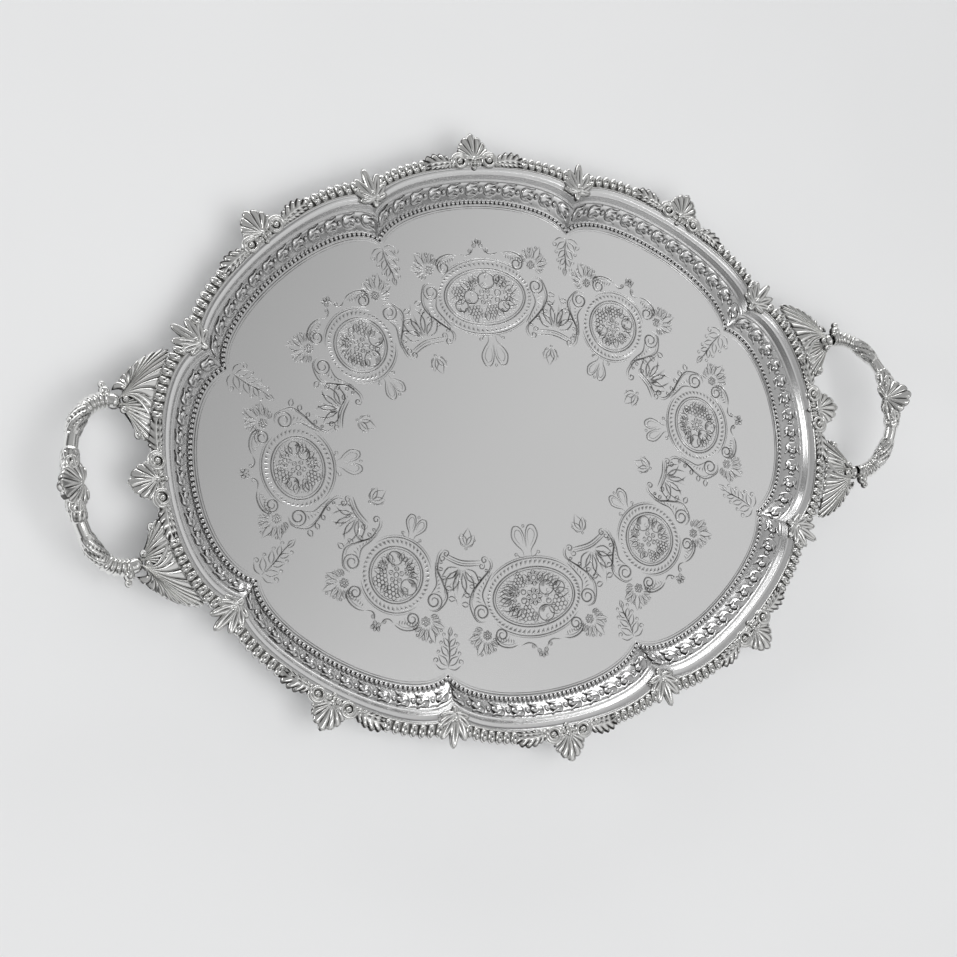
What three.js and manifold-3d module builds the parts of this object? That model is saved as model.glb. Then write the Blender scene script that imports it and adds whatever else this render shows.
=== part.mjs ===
// A two-handled silver serving tray (salver) with an eight-lobed outline, as a three.js scene graph.
// Millimetres, +Z up, +X along the handles; the origin is centred under the feet, on the table.
import * as THREE from "three";
import { mergeVertices } from "three/addons/utils/BufferGeometryUtils.js";
import Module from "manifold-3d";

const wasm = await Module();
wasm.setup();

// ---------------------------------------------------------------- driving dimensions
const SEAM = 0.3; // gap left between two soldered pieces
const SHEET = 1.4; // gauge of the raised body
const FOOT_HEIGHT = 14; // table to the underside of the field

// The bead line, where the flat field ends: eight lobes that meet in eight cusps.
const FIELD_HALF_LENGTH = 269.8; // middle of an end lobe
const FIELD_HALF_WIDTH = 208.8; // middle of a side lobe
const END_LOBE = { depth: 37.4, halfWidth: 83.5, shoulder: 19.6 }; // depth: cusp to middle
const SIDE_LOBE = { depth: 29.2, halfWidth: 87.5, shoulder: 22.5 };
const CORNER_FROM_END = { x: 6.9, y: 42.0 }; // control arms of a corner lobe
const CORNER_FROM_SIDE = { x: 34.8, y: 27.7 };

// The border, measured across from the bead line; heights are above the field.
const BORDER_WIDTH = 25; // bead line to the inner edge of the cast border
const CUSP_REACH = { end: 26.4, side: 29.1 }; // the same distance at the cusps
const CUSP_LEAN = { end: 38, side: 77 }; // degrees, outward direction at a cusp
const BEAD_SIZE = 3.4; // inner row of beads, diameter
const BAND = { width: 13.8, rise: 11.1 }; // sloping band with the chased husks
const STEP = { width: 3.8, rise: 4.8 }; // steep step above the band
const FLANGE_RISE = 18; // top of the flange that carries the castings
const FLANGE_WIDTH = 9;

// Cast border.
const CASTING_WIDTH = 10; // across the large beads
const CASTING_HEIGHT = 4.2;
const VOLUTE = { spread: 13.5, across: 30.2, radius: 8, height: 6 };
const LEAF = { from: 19, to: 50, bulge: 4.5 }; // acanthus beside the volutes, along the border
const SHELL = { reach: 53.5, halfWidth: 14, thickness: 3.4 };
const CUSP_SHELL = { reach: 27, halfWidth: 12.5, thickness: 4.6 };

// Handles. A place on the border is a run along the end lobe from its middle, and a reach out
// from the cast border's outer edge.
const GRIP = { rootRun: 48.5, rootReach: 27.7, tipReach: 62.2, halfSpan: 67, radius: 5 };
const GRIP_HEIGHT = { root: 25, dip: 6, tip: 41 }; // above the field
const GRIP_SHELL = { halfWidth: 16.5, reach: 13, rise: 13, collar: 9, thickness: 3.6 };
const COLLAR_WALL = 0.8;
const ROOT_LEAF_THICKNESS = 5.5;
const ROOT_LEAF_EDGE = [
  { run: 91, reach: 1 }, // the leaf's point, beside the cusp shell
  { run: 74, reach: 17 },
  { run: 61, reach: 22 },
  { run: 51, reach: 32.5 }, // where the bar grows out of it
  { run: 43.5, reach: 30.5 },
  { run: 42.8, reach: 18 },
  { run: 40, reach: 11 },
  { run: 43.5, reach: -1 },
];

// Feet.
const FOOT = { inset: 14, width: 22, pad: 10, ankle: 6, depth: 15, plate: 2 };

const LOBE_STEPS = 12; // straight pieces in one lobe of the outline
const FIELD_TOP = FOOT_HEIGHT + SHEET;
const FLANGE_TOP = FIELD_TOP + FLANGE_RISE;
const CASTING_BASE = FLANGE_TOP + SEAM;

// ---------------------------------------------------------------- geometry and solids
function solidOf(geometry) {
  const bare = geometry.clone();
  bare.deleteAttribute("normal");
  bare.deleteAttribute("uv");
  const merged = mergeVertices(bare.index ? bare.toNonIndexed() : bare, 1e-4);
  return new wasm.Manifold(
    new wasm.Mesh({
      numProp: 3,
      vertProperties: new Float32Array(merged.attributes.position.array),
      triVerts: new Uint32Array(merged.index.array),
    }),
  );
}

function geometryOf(solid) {
  const mesh = solid.getMesh();
  const geometry = new THREE.BufferGeometry();
  geometry.setAttribute("position", new THREE.BufferAttribute(mesh.vertProperties, 3));
  geometry.setIndex(new THREE.BufferAttribute(mesh.triVerts, 1));
  geometry.computeVertexNormals();
  return geometry;
}

function largest(solid) {
  return solid.decompose().sort((a, b) => b.volume() - a.volume())[0];
}

function union(solids) {
  return solids.reduce((sum, next) => sum.add(next));
}

// A flat plate with the given plan outline, from z = bottom to bottom + height.
function plate(outline, bottom, height) {
  const points = THREE.ShapeUtils.isClockWise(outline) ? [...outline].reverse() : outline;
  const geometry = new THREE.ExtrudeGeometry(new THREE.Shape(points), {
    depth: height,
    bevelEnabled: false,
    curveSegments: 1,
  });
  return solidOf(geometry.translate(0, 0, bottom));
}

// A closed skin over rings that all have the same number of points; the rings run round a
// section, so the first follows the last, or the end rings, which are the same, are capped flat.
function skin(rings, closed) {
  const count = rings[0].length;
  const positions = rings.flat().flatMap((p) => [p.x, p.y, p.z]);
  const faces = [];
  const spans = closed ? rings.length : rings.length - 1;
  for (let r = 0; r < spans; r++) {
    const here = r * count;
    const next = ((r + 1) % rings.length) * count;
    for (let k = 0; k < count; k++) {
      const l = (k + 1) % count;
      faces.push(here + k, here + l, next + l, here + k, next + l, next + k);
    }
  }
  if (!closed) {
    const last = (rings.length - 1) * count;
    for (const [a, b, c] of THREE.ShapeUtils.triangulateShape(rings[0], [])) {
      faces.push(a, c, b, last + a, last + b, last + c);
    }
  }
  const geometry = new THREE.BufferGeometry();
  geometry.setAttribute("position", new THREE.Float32BufferAttribute(positions, 3));
  geometry.setIndex(faces);
  return geometry;
}

// ---------------------------------------------------------------- the lobed outline
// Eight cusps, counterclockwise from the one before the right-hand end lobe.
const CUSP_ORDER = [
  ["end", 1, -1],
  ["end", 1, 1],
  ["side", 1, 1],
  ["side", -1, 1],
  ["end", -1, 1],
  ["end", -1, -1],
  ["side", -1, -1],
  ["side", 1, -1],
];
const LOBES = [
  "right",
  "back_right",
  "back",
  "back_left",
  "left",
  "front_left",
  "front",
  "front_right",
];

const END_CUSP = { x: FIELD_HALF_LENGTH - END_LOBE.depth, y: END_LOBE.halfWidth };
const SIDE_CUSP = { x: SIDE_LOBE.halfWidth, y: FIELD_HALF_WIDTH - SIDE_LOBE.depth };
const ARM_PER_DEPTH = 4 / 3; // a cubic's control arm, for a lobe that bulges by its depth
const endArm = { x: END_LOBE.depth * ARM_PER_DEPTH, y: -END_LOBE.shoulder };
const sideArm = { x: -SIDE_LOBE.shoulder, y: SIDE_LOBE.depth * ARM_PER_DEPTH };

// The cusp's place, its outward direction, and the control arm of the lobe on either side.
function cusp(index) {
  const [kind, sx, sy] = CUSP_ORDER[index % 8];
  const turn = (v) => new THREE.Vector2(v.x * sx, v.y * sy);
  const lean = THREE.MathUtils.degToRad(CUSP_LEAN[kind]);
  return {
    place: turn(kind === "end" ? END_CUSP : SIDE_CUSP),
    outward: turn({ x: Math.cos(lean), y: Math.sin(lean) }),
    reach: CUSP_REACH[kind],
    toCorner: turn(kind === "end" ? CORNER_FROM_END : CORNER_FROM_SIDE),
    toOwn: turn(kind === "end" ? endArm : sideArm),
  };
}

function bezierOf(a, armA, b, armB) {
  return new THREE.CubicBezierCurve(a, a.clone().add(armA), b.clone().add(armB), b);
}

// A lobe's bead line and the inner edge of its casting, as two curves with the same parameter.
function lobeCurves(index) {
  const [a, b] = [cusp(index), cusp(index + 1)];
  const corner = index % 2 === 1;
  const armA = corner ? a.toCorner : a.toOwn;
  const armB = corner ? b.toCorner : b.toOwn;
  const inner = bezierOf(a.place, armA, b.place, armB);
  const along = inner.getTangent(0.5);
  const normal = new THREE.Vector2(along.y, -along.x);
  const middle = inner.getPoint(0.5).addScaledVector(normal, BORDER_WIDTH);
  const outerA = a.place.clone().addScaledVector(a.outward, a.reach);
  const outerB = b.place.clone().addScaledVector(b.outward, b.reach);
  const chord = outerA.clone().add(outerB).multiplyScalar(0.5);
  const arms = middle.sub(chord).multiplyScalar(2 * ARM_PER_DEPTH);
  const more = arms.sub(armA).sub(armB).multiplyScalar(0.5);
  const outer = bezierOf(outerA, armA.clone().add(more), outerB, armB.clone().add(more));
  return { inner, outer };
}

const curves = LOBES.map((_, index) => lobeCurves(index));

// The plan point at parameter s of a lobe, at a distance across the border from the bead line.
function rimPoint(lobe, s, across) {
  const { inner, outer } = curves[lobe];
  return inner.getPoint(s).lerp(outer.getPoint(s), across / BORDER_WIDTH);
}

// The parameter at a distance along the border from the lobe's middle.
function alongLobe(lobe, distance, across) {
  const samples = 80;
  const way = Math.sign(distance) || 1;
  let travelled = 0;
  let last = rimPoint(lobe, 0.5, across);
  for (let k = 1; k <= samples; k++) {
    const s = 0.5 + (way * 0.5 * k) / samples;
    const next = rimPoint(lobe, s, across);
    const step = next.distanceTo(last);
    if (travelled + step >= Math.abs(distance)) {
      const share = (Math.abs(distance) - travelled) / step;
      return s - (way * 0.5 * (1 - share)) / samples;
    }
    travelled += step;
    last = next;
  }
  return way > 0 ? 1 : 0;
}

// The whole outline at one distance across.
function outlineAt(across, steps) {
  const points = [];
  for (let lobe = 0; lobe < LOBES.length; lobe++) {
    for (let k = 0; k < steps; k++) {
      points.push(rimPoint(lobe, k / steps, across));
    }
  }
  return points;
}

// ---------------------------------------------------------------- the raised body
const flangeEdge = BORDER_WIDTH + FLANGE_WIDTH;
const borderProfile = [
  { across: BEAD_SIZE, rise: 0 },
  { across: BEAD_SIZE / 2 + BAND.width, rise: BAND.rise },
  { across: BEAD_SIZE / 2 + BAND.width + STEP.width, rise: BAND.rise + STEP.rise },
  { across: BORDER_WIDTH - 0.5, rise: FLANGE_RISE },
  { across: flangeEdge, rise: FLANGE_RISE },
];

function ringAt(across, z) {
  return outlineAt(across, LOBE_STEPS).map((p) => new THREE.Vector3(p.x, p.y, z));
}

function trayBody() {
  const top = borderProfile.map((p) => ringAt(p.across, FIELD_TOP + p.rise));
  const under = borderProfile.map((p) => ringAt(p.across, FIELD_TOP + p.rise - SHEET));
  return geometryOf(solidOf(skin([...under, ...top.reverse()], false)));
}

// ---------------------------------------------------------------- inner row of beads
function beadMoulding() {
  const radius = BEAD_SIZE / 2;
  const seat = FIELD_TOP + SEAM;
  const sides = 5;
  const rings = [];
  for (let k = 0; k < sides; k++) {
    const angle = (Math.PI * k) / (sides - 1);
    rings.push(ringAt(radius * Math.cos(angle), seat + radius * Math.sin(angle)));
  }
  return geometryOf(solidOf(skin(rings, true)));
}

// ---------------------------------------------------------------- cast border
// A fan-shaped shell in plan, in a local frame: lateral across it, out towards its tip.
function fanOutline(base, across, out, reach, halfWidth, margin) {
  const fan = [
    [0, -0.1],
    [0.35, 0.1],
    [0.8, 0.38],
    [1, 0.56],
    [0.86, 0.72],
    [0.52, 0.9],
    [0.16, 1],
  ];
  const side = (sign) =>
    fan.map(([w, o]) => {
      const lateral = sign * (w * halfWidth + (w > 0 ? margin : 0));
      const outward = o * reach + margin * (o > 0.6 ? 1 : o < 0 ? -1 : 0);
      return base.clone().addScaledVector(across, lateral).addScaledVector(out, outward);
    });
  return [...side(1), ...side(-1).slice(1).reverse()];
}

function cuspFan(index, margin) {
  const { place, outward, reach } = cusp(index);
  const base = place.clone().addScaledVector(outward, reach);
  const across = new THREE.Vector2(-outward.y, outward.x);
  const { reach: long, halfWidth } = CUSP_SHELL;
  return fanOutline(base, across, outward, long, halfWidth, margin);
}

function cuspShell(index) {
  return geometryOf(plate(cuspFan(index, 0), CASTING_BASE, CUSP_SHELL.thickness));
}

// The running part of a casting: beads, and the acanthus leaf beside each volute.
function runningOutline(lobe) {
  const steps = 2 * LOBE_STEPS;
  const outside = [];
  const inside = [];
  for (let k = 0; k <= steps; k++) {
    const s = k / steps;
    inside.push(rimPoint(lobe, s, BORDER_WIDTH));
    outside.push(rimPoint(lobe, s, BORDER_WIDTH + CASTING_WIDTH));
  }
  return [...inside, ...outside.reverse()];
}

function leafOutline(lobe, side, margin) {
  const count = 8;
  const edge = (bulge) =>
    Array.from({ length: count + 1 }, (_, k) => {
      const run = LEAF.from - margin + ((LEAF.to - LEAF.from + 2 * margin) * k) / count;
      const swell = Math.sin((Math.PI * (k + 1)) / (count + 2));
      const across = BORDER_WIDTH + CASTING_WIDTH * 0.5 + bulge * swell;
      return rimPoint(lobe, alongLobe(lobe, side * run, BORDER_WIDTH), across);
    });
  const outer = CASTING_WIDTH * 0.5 + LEAF.bulge + margin;
  return [...edge(outer), ...edge(-CASTING_WIDTH * 0.4).reverse()];
}

function volute(lobe, side) {
  const s = alongLobe(lobe, side * VOLUTE.spread, VOLUTE.across);
  const centre = rimPoint(lobe, s, VOLUTE.across);
  const disc = new THREE.CylinderGeometry(VOLUTE.radius * 0.7, VOLUTE.radius, VOLUTE.height, 14);
  disc.rotateX(Math.PI / 2);
  disc.translate(centre.x, centre.y, CASTING_BASE + VOLUTE.height / 2);
  return solidOf(disc);
}

function casting(lobe) {
  const middle = rimPoint(lobe, 0.5, BORDER_WIDTH);
  const out = rimPoint(lobe, 0.5, flangeEdge).sub(middle).normalize();
  const across = new THREE.Vector2(-out.y, out.x);
  const shellReach = SHELL.reach - BORDER_WIDTH;
  const shell = fanOutline(middle, across, out, shellReach, SHELL.halfWidth, 0);
  const made = union([
    plate(runningOutline(lobe), CASTING_BASE, CASTING_HEIGHT),
    plate(leafOutline(lobe, 1, 0), CASTING_BASE, CASTING_HEIGHT * 0.8),
    plate(leafOutline(lobe, -1, 0), CASTING_BASE, CASTING_HEIGHT * 0.8),
    plate(shell, CASTING_BASE, SHELL.thickness),
    volute(lobe, 1),
    volute(lobe, -1),
  ]);
  const gapHeight = CUSP_SHELL.thickness + 2 * SEAM;
  const startGap = plate(cuspFan(lobe, SEAM), CASTING_BASE - SEAM, gapHeight);
  const endGap = plate(cuspFan(lobe + 1, SEAM), CASTING_BASE - SEAM, gapHeight);
  return geometryOf(largest(made.subtract(startGap).subtract(endGap)));
}

// ---------------------------------------------------------------- handles
const casingEdge = BORDER_WIDTH + CASTING_WIDTH;

// A place beside the right-hand end lobe, behind its middle.
function besideBorder({ run, reach }) {
  return rimPoint(0, alongLobe(0, run, BORDER_WIDTH), casingEdge + reach);
}

// Half of the right-hand handle's centreline, from the back root leaf to the middle of the grip.
const gripRoot = besideBorder({ run: GRIP.rootRun, reach: GRIP.rootReach });
const tipX = besideBorder({ run: 0, reach: GRIP.tipReach }).x;
const rootZ = FIELD_TOP + GRIP_HEIGHT.root;
const tipZ = FIELD_TOP + GRIP_HEIGHT.tip;
const gripCurve = new THREE.CubicBezierCurve3(
  new THREE.Vector3(gripRoot.x, gripRoot.y, rootZ),
  new THREE.Vector3(0.4 * gripRoot.x + 0.6 * tipX, GRIP.halfSpan, rootZ - GRIP_HEIGHT.dip),
  new THREE.Vector3(tipX, 0.57 * GRIP.halfSpan, tipZ),
  new THREE.Vector3(tipX, 0, tipZ),
);

// A round bar along a part of the grip's centreline.
function gripBar(from, to, radius, steps) {
  const points = [];
  for (let k = 0; k <= steps; k++) {
    points.push(gripCurve.getPoint(from + ((to - from) * k) / steps));
  }
  const section = new THREE.Shape();
  section.absellipse(0, 0, radius, radius, 0, 2 * Math.PI);
  return solidOf(
    new THREE.ExtrudeGeometry(section, {
      steps,
      curveSegments: 5,
      extrudePath: new THREE.CatmullRomCurve3(points),
    }),
  );
}

// The parameter where the grip's centreline passes a distance from the middle.
function gripAt(y) {
  let [low, high] = [0.5, 1];
  for (let k = 0; k < 30; k++) {
    const half = (low + high) / 2;
    if (gripCurve.getPoint(half).y > y) low = half;
    else high = half;
  }
  return low;
}

// The acanthus leaf that spreads from the arm's root to the edge of the border.
function rootLeaf() {
  const steps = 8;
  const first = ROOT_LEAF_EDGE[0];
  const last = ROOT_LEAF_EDGE.at(-1);
  const under = Array.from({ length: steps + 1 }, (_, k) =>
    besideBorder({ run: last.run + ((first.run - last.run) * k) / steps, reach: -CASTING_WIDTH }),
  );
  const bottom = rootZ - GRIP.radius;
  const height = ROOT_LEAF_THICKNESS + 2;
  const whole = plate([...ROOT_LEAF_EDGE.map(besideBorder), ...under], bottom, ROOT_LEAF_THICKNESS);
  const border = plate(outlineAt(casingEdge + SEAM, 2 * LOBE_STEPS), bottom - 1, height);
  const leaf = plate(leafOutline(0, 1, SEAM), bottom - 1, height);
  return largest(whole.subtract(border).subtract(leaf));
}

const gripStop = gripAt(GRIP_SHELL.collar + SEAM);

function handleArm() {
  return union([rootLeaf(), gripBar(0, gripStop, GRIP.radius, 18)]);
}

// The shell that covers the middle of the grip and curls up and out.
function gripShell() {
  const collar = gripBar(gripAt(GRIP_SHELL.collar), 1, GRIP.radius + COLLAR_WALL, 3);
  const { reach, rise, halfWidth, thickness } = GRIP_SHELL;
  const across = new THREE.Vector2(0, 1);
  const out = new THREE.Vector2(1, 0);
  const fan = fanOutline(new THREE.Vector2(), across, out, Math.hypot(reach, rise), halfWidth, 0);
  const tilt = THREE.MathUtils.radToDeg(Math.atan2(rise, reach));
  const raised = plate(fan, -thickness / 2, thickness)
    .rotate([0, -tilt, 0])
    .translate([tipX, 0, tipZ]);
  const beyond = new THREE.BoxGeometry(reach, 4 * halfWidth, 4 * rise);
  beyond.translate(tipX + 1.5 * reach, 0, tipZ);
  return union([collar, collar.mirror([0, 1, 0]), raised]).subtract(solidOf(beyond));
}

// ---------------------------------------------------------------- feet
// A bracket foot: a top plate, a curved ankle and a rounded pad, cast in one.
function foot() {
  const top = FOOT_HEIGHT - SEAM;
  const side = new THREE.Shape();
  side.moveTo(0, 0);
  side.lineTo(FOOT.pad, 0);
  side.quadraticCurveTo(FOOT.pad, top / 2, FOOT.ankle + 1, top / 2);
  side.quadraticCurveTo(FOOT.ankle, top - FOOT.plate, FOOT.depth, top - FOOT.plate);
  side.lineTo(FOOT.depth, top);
  side.lineTo(0, top);
  side.quadraticCurveTo(1, top / 2, 0, 0);
  const block = new THREE.ExtrudeGeometry(side, {
    depth: FOOT.width,
    bevelEnabled: false,
    curveSegments: 5,
  });
  block.translate(-FOOT.depth / 2, 0, -FOOT.width / 2);
  block.rotateX(Math.PI / 2);
  return geometryOf(solidOf(block));
}

// ---------------------------------------------------------------- materials
function silver(name, roughness) {
  return new THREE.MeshStandardMaterial({ name, color: 0xd9dadb, roughness, metalness: 1 });
}
const polished = silver("polished_silver", 0.12);
const cast = silver("cast_silver", 0.2);

// ---------------------------------------------------------------- assembly
const tray = new THREE.Group();

function add(name, geometry, material) {
  const mesh = new THREE.Mesh(geometry, material);
  mesh.name = name;
  tray.add(mesh);
  return mesh;
}

add("tray_body", trayBody(), polished);
add("bead_moulding", beadMoulding(), polished);

LOBES.forEach((name, lobe) => add(`border_casting_${name}`, casting(lobe), cast));

const CUSP_NAMES = [
  "right_front",
  "right_back",
  "back_right",
  "back_left",
  "left_back",
  "left_front",
  "front_left",
  "front_right",
];
CUSP_NAMES.forEach((name, index) => add(`cusp_shell_${name}`, cuspShell(index), cast));

for (const [end, sx] of [
  ["right", 1],
  ["left", -1],
]) {
  for (const [where, sy] of [
    ["back", 1],
    ["front", -1],
  ]) {
    let arm = handleArm();
    if (sx < 0) arm = arm.mirror([1, 0, 0]);
    if (sy < 0) arm = arm.mirror([0, 1, 0]);
    add(`handle_${end}_arm_${where}`, geometryOf(arm), cast);
  }
  const shell = sx > 0 ? gripShell() : gripShell().mirror([1, 0, 0]);
  add(`handle_${end}_shell`, geometryOf(shell), cast);
}

// One foot under each corner lobe, facing out.
for (const lobe of [1, 3, 5, 7]) {
  const place = rimPoint(lobe, 0.5, -FOOT.inset);
  const mesh = add(`foot_${LOBES[lobe]}`, foot(), cast);
  mesh.position.set(place.x, place.y, 0);
  mesh.rotation.z = place.angle();
}

export default tray;
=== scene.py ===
# %% [markdown]
# # A two-handled silver tray
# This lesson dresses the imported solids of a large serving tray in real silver: a polished sheet with
# an engraved field, a chased band, cast borders and cast handles. The solids stay where they are, and
# every new piece is measured from them.

# %% Load the fixed frame
import math
import random

import bmesh
import bpy
import numpy as np
from mathutils import Matrix, Vector, kdtree
from mathutils.geometry import delaunay_2d_cdt


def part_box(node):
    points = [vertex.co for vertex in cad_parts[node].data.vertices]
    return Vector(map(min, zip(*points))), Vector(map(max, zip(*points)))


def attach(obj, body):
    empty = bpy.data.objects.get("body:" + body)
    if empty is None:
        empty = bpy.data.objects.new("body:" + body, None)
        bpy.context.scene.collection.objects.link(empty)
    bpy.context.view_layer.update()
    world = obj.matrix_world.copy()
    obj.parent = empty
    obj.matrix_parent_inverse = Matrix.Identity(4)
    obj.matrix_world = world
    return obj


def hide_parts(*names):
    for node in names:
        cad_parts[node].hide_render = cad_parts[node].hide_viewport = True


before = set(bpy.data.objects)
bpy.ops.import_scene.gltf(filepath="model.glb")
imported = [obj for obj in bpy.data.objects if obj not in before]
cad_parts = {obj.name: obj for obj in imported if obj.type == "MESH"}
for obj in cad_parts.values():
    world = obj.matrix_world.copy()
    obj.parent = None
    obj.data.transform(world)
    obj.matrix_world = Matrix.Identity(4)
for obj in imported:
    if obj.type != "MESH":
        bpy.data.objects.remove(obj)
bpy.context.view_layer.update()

MM = 0.001  # the script thinks in millimetres, and Blender in metres
print("nodes in the frame:", len(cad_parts))


# %% [markdown]
# ## Sizes
# The tray's main sizes are read from the solids: the row of beads gives the edge of the field, the
# body gives the height of the border, and the castings give how far the shells reach. The shape of
# the eight lobes is written once, as in the solids: each lobe is one cubic curve between two cusps.


# %% Main sizes, in millimetres
def solid_box(node):
    low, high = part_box(node)
    return np.array(low) / MM, np.array(high) / MM


SEAM = 0.3  # the gap that the solids keep between two pieces
SHEET = 1.4
bead_low, bead_high = solid_box("bead_moulding")
_, body_high = solid_box("tray_body")
casting_low, casting_high = solid_box("border_casting_right")
BEAD_RADIUS = bead_high[2] - bead_low[2]
FIELD_TOP = bead_low[2] - SEAM
FIELD_HALF_LENGTH = bead_high[0] - BEAD_RADIUS
FIELD_HALF_WIDTH = bead_high[1] - BEAD_RADIUS
FLANGE_RISE = body_high[2] - FIELD_TOP
CASTING_BASE = casting_low[2]
SHELL_TIP = casting_high[0] - FIELD_HALF_LENGTH  # bead line to the tip of a border shell
BORDER_WIDTH = 25.0  # bead line to the inner edge of the castings
print(f"field {2 * FIELD_HALF_LENGTH:.1f} x {2 * FIELD_HALF_WIDTH:.1f} mm, top at {FIELD_TOP:.1f}")


# %% The eight lobes
END_LOBE = {"depth": 37.4, "half_width": 83.5, "shoulder": 19.6}
SIDE_LOBE = {"depth": 29.2, "half_width": 87.5, "shoulder": 22.5}
CORNER_ARM = {"end": (6.9, 42.0), "side": (34.8, 27.7)}
CUSP_REACH = {"end": 26.4, "side": 29.1}
CUSP_LEAN = {"end": 38.0, "side": 77.0}
ARM_PER_DEPTH = 4 / 3
CUSP_PLACE = {
    "end": (FIELD_HALF_LENGTH - END_LOBE["depth"], END_LOBE["half_width"]),
    "side": (SIDE_LOBE["half_width"], FIELD_HALF_WIDTH - SIDE_LOBE["depth"]),
}
OWN_ARM = {
    "end": (END_LOBE["depth"] * ARM_PER_DEPTH, -END_LOBE["shoulder"]),
    "side": (-SIDE_LOBE["shoulder"], SIDE_LOBE["depth"] * ARM_PER_DEPTH),
}
CUSP_ORDER = [("end", 1, -1), ("end", 1, 1), ("side", 1, 1), ("side", -1, 1)]
CUSP_ORDER += [("end", -1, 1), ("end", -1, -1), ("side", -1, -1), ("side", 1, -1)]
LOBE_NAMES = ["right", "back_right", "back", "back_left", "left", "front_left", "front", "front_right"]


def bezier(points, s):
    s = np.asarray(s, float)[..., None]
    t = 1 - s
    return t**3 * points[0] + 3 * t * t * s * points[1] + 3 * t * s * s * points[2] + s**3 * points[3]


class Cusp:
    """The point where two lobes meet: its place, the way it faces, and each lobe's control arm."""

    def __init__(self, index):
        self.kind, x_side, y_side = CUSP_ORDER[index % 8]
        turn = np.array([x_side, y_side], float)
        lean = math.radians(CUSP_LEAN[self.kind])
        self.place = np.array(CUSP_PLACE[self.kind]) * turn
        self.outward = np.array([math.cos(lean), math.sin(lean)]) * turn
        self.reach = CUSP_REACH[self.kind]
        self.corner_arm = np.array(CORNER_ARM[self.kind]) * turn
        self.own_arm = np.array(OWN_ARM[self.kind]) * turn


class Lobe:
    """One lobe: the bead line and the casting's inner edge, with distances measured along it."""

    def __init__(self, index):
        first, last = Cusp(index), Cusp(index + 1)
        corner = index % 2 == 1
        arm_a = first.corner_arm if corner else first.own_arm
        arm_b = last.corner_arm if corner else last.own_arm
        self.inner = np.array([first.place, first.place + arm_a, last.place + arm_b, last.place])
        ahead = self.inner[3] - self.inner[0]
        facing = np.array([ahead[1], -ahead[0]]) / np.linalg.norm(ahead)
        outer_a = first.place + first.outward * first.reach
        outer_b = last.place + last.outward * last.reach
        middle = bezier(self.inner, 0.5) + facing * BORDER_WIDTH
        arms = (middle - (outer_a + outer_b) / 2) * 2 * ARM_PER_DEPTH
        more = (arms - arm_a - arm_b) / 2
        self.outer = np.array([outer_a, outer_a + arm_a + more, outer_b + arm_b + more, outer_b])
        self.shares = np.linspace(0, 1, 801)
        edge = bezier(self.outer, self.shares)
        steps = np.linalg.norm(np.diff(edge, axis=0), axis=1)
        travelled = np.concatenate([[0], np.cumsum(steps)])
        self.runs = travelled - np.interp(0.5, self.shares, travelled)
        self.start, self.end = self.runs[0], self.runs[-1]

    def plan(self, run, across):
        """The plan point at a distance along the lobe from its middle, and across from the beads."""
        share = np.interp(run, self.runs, self.shares)
        inner, outer = bezier(self.inner, share), bezier(self.outer, share)
        return inner + (outer - inner) * (np.asarray(across, float) / BORDER_WIDTH)[..., None]

    def outward(self, run, across):
        step = self.plan(run, np.asarray(across) + 0.5) - self.plan(run, across)
        return step / np.linalg.norm(step, axis=-1, keepdims=True)


cusps = [Cusp(index) for index in range(8)]
lobes = [Lobe(index) for index in range(8)]
print("lobe lengths along the casting:", [round(lobe.end - lobe.start) for lobe in lobes])


# %% [markdown]
# ## The camera
# The camera looks down at the tray from the front left, as a person does who has stood it up on a
# stand. It comes early in the script, because everything later is judged from it. Its place is
# measured from the middle of the field.

# %% Camera
CAMERA_PLACE = np.array([-569.3, -143.6, 1148.3 + FIELD_TOP])
CAMERA_RIGHT = Vector((0.9028, -0.1580, 0.4000))
CAMERA_AHEAD = Vector((0.4182, 0.1055, -0.9022))
camera_data = bpy.data.cameras.new("camera")
camera_data.lens = 58.35
camera_data.sensor_width = 36
camera_data.shift_x = 0.0076
camera_data.shift_y = -0.0189
camera = bpy.data.objects.new("camera", camera_data)
bpy.context.scene.collection.objects.link(camera)
back = -CAMERA_AHEAD.normalized()
right = (CAMERA_RIGHT - back * CAMERA_RIGHT.dot(back)).normalized()
up = back.cross(right)
turn = Matrix((right, up, back)).transposed().to_4x4()
camera.matrix_world = Matrix.Translation(Vector(CAMERA_PLACE * MM)) @ turn
bpy.context.scene.camera = camera
print("camera at", [round(value, 3) for value in camera.location])


# %% [markdown]
# ## Finishes
# Old silver is one metal with four looks. Polished sheet is bright and shows a faint haze of fine
# lines from a century of rubbing. Chased work is as bright, with crisper reflections. Cast work is
# bright only on its high parts, and black in its recesses: tarnish where the cloth never reaches, and
# painted shade. Handles are the same, but softer where hands wear them. The dark recesses, tarnish
# and painted shade together, and the haze are each a node group, used in all four.


# %% Node helpers
def new_group(name, inputs, outputs):
    group = bpy.data.node_groups.new(name, "ShaderNodeTree")
    for label, kind, value in inputs:
        socket = group.interface.new_socket(label, in_out="INPUT", socket_type=kind)
        socket.default_value = value
    for label, kind in outputs:
        group.interface.new_socket(label, in_out="OUTPUT", socket_type=kind)
    return group, group.nodes.new("NodeGroupInput"), group.nodes.new("NodeGroupOutput")


def math_node(tree, operation, *values):
    """A math node; each value is a number or another node's output."""
    node = tree.nodes.new("ShaderNodeMath")
    node.operation = operation
    for socket, value in zip(node.inputs, values):
        if isinstance(value, (int, float)):
            socket.default_value = value
        else:
            tree.links.new(value, socket)
    return node.outputs[0]


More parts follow.
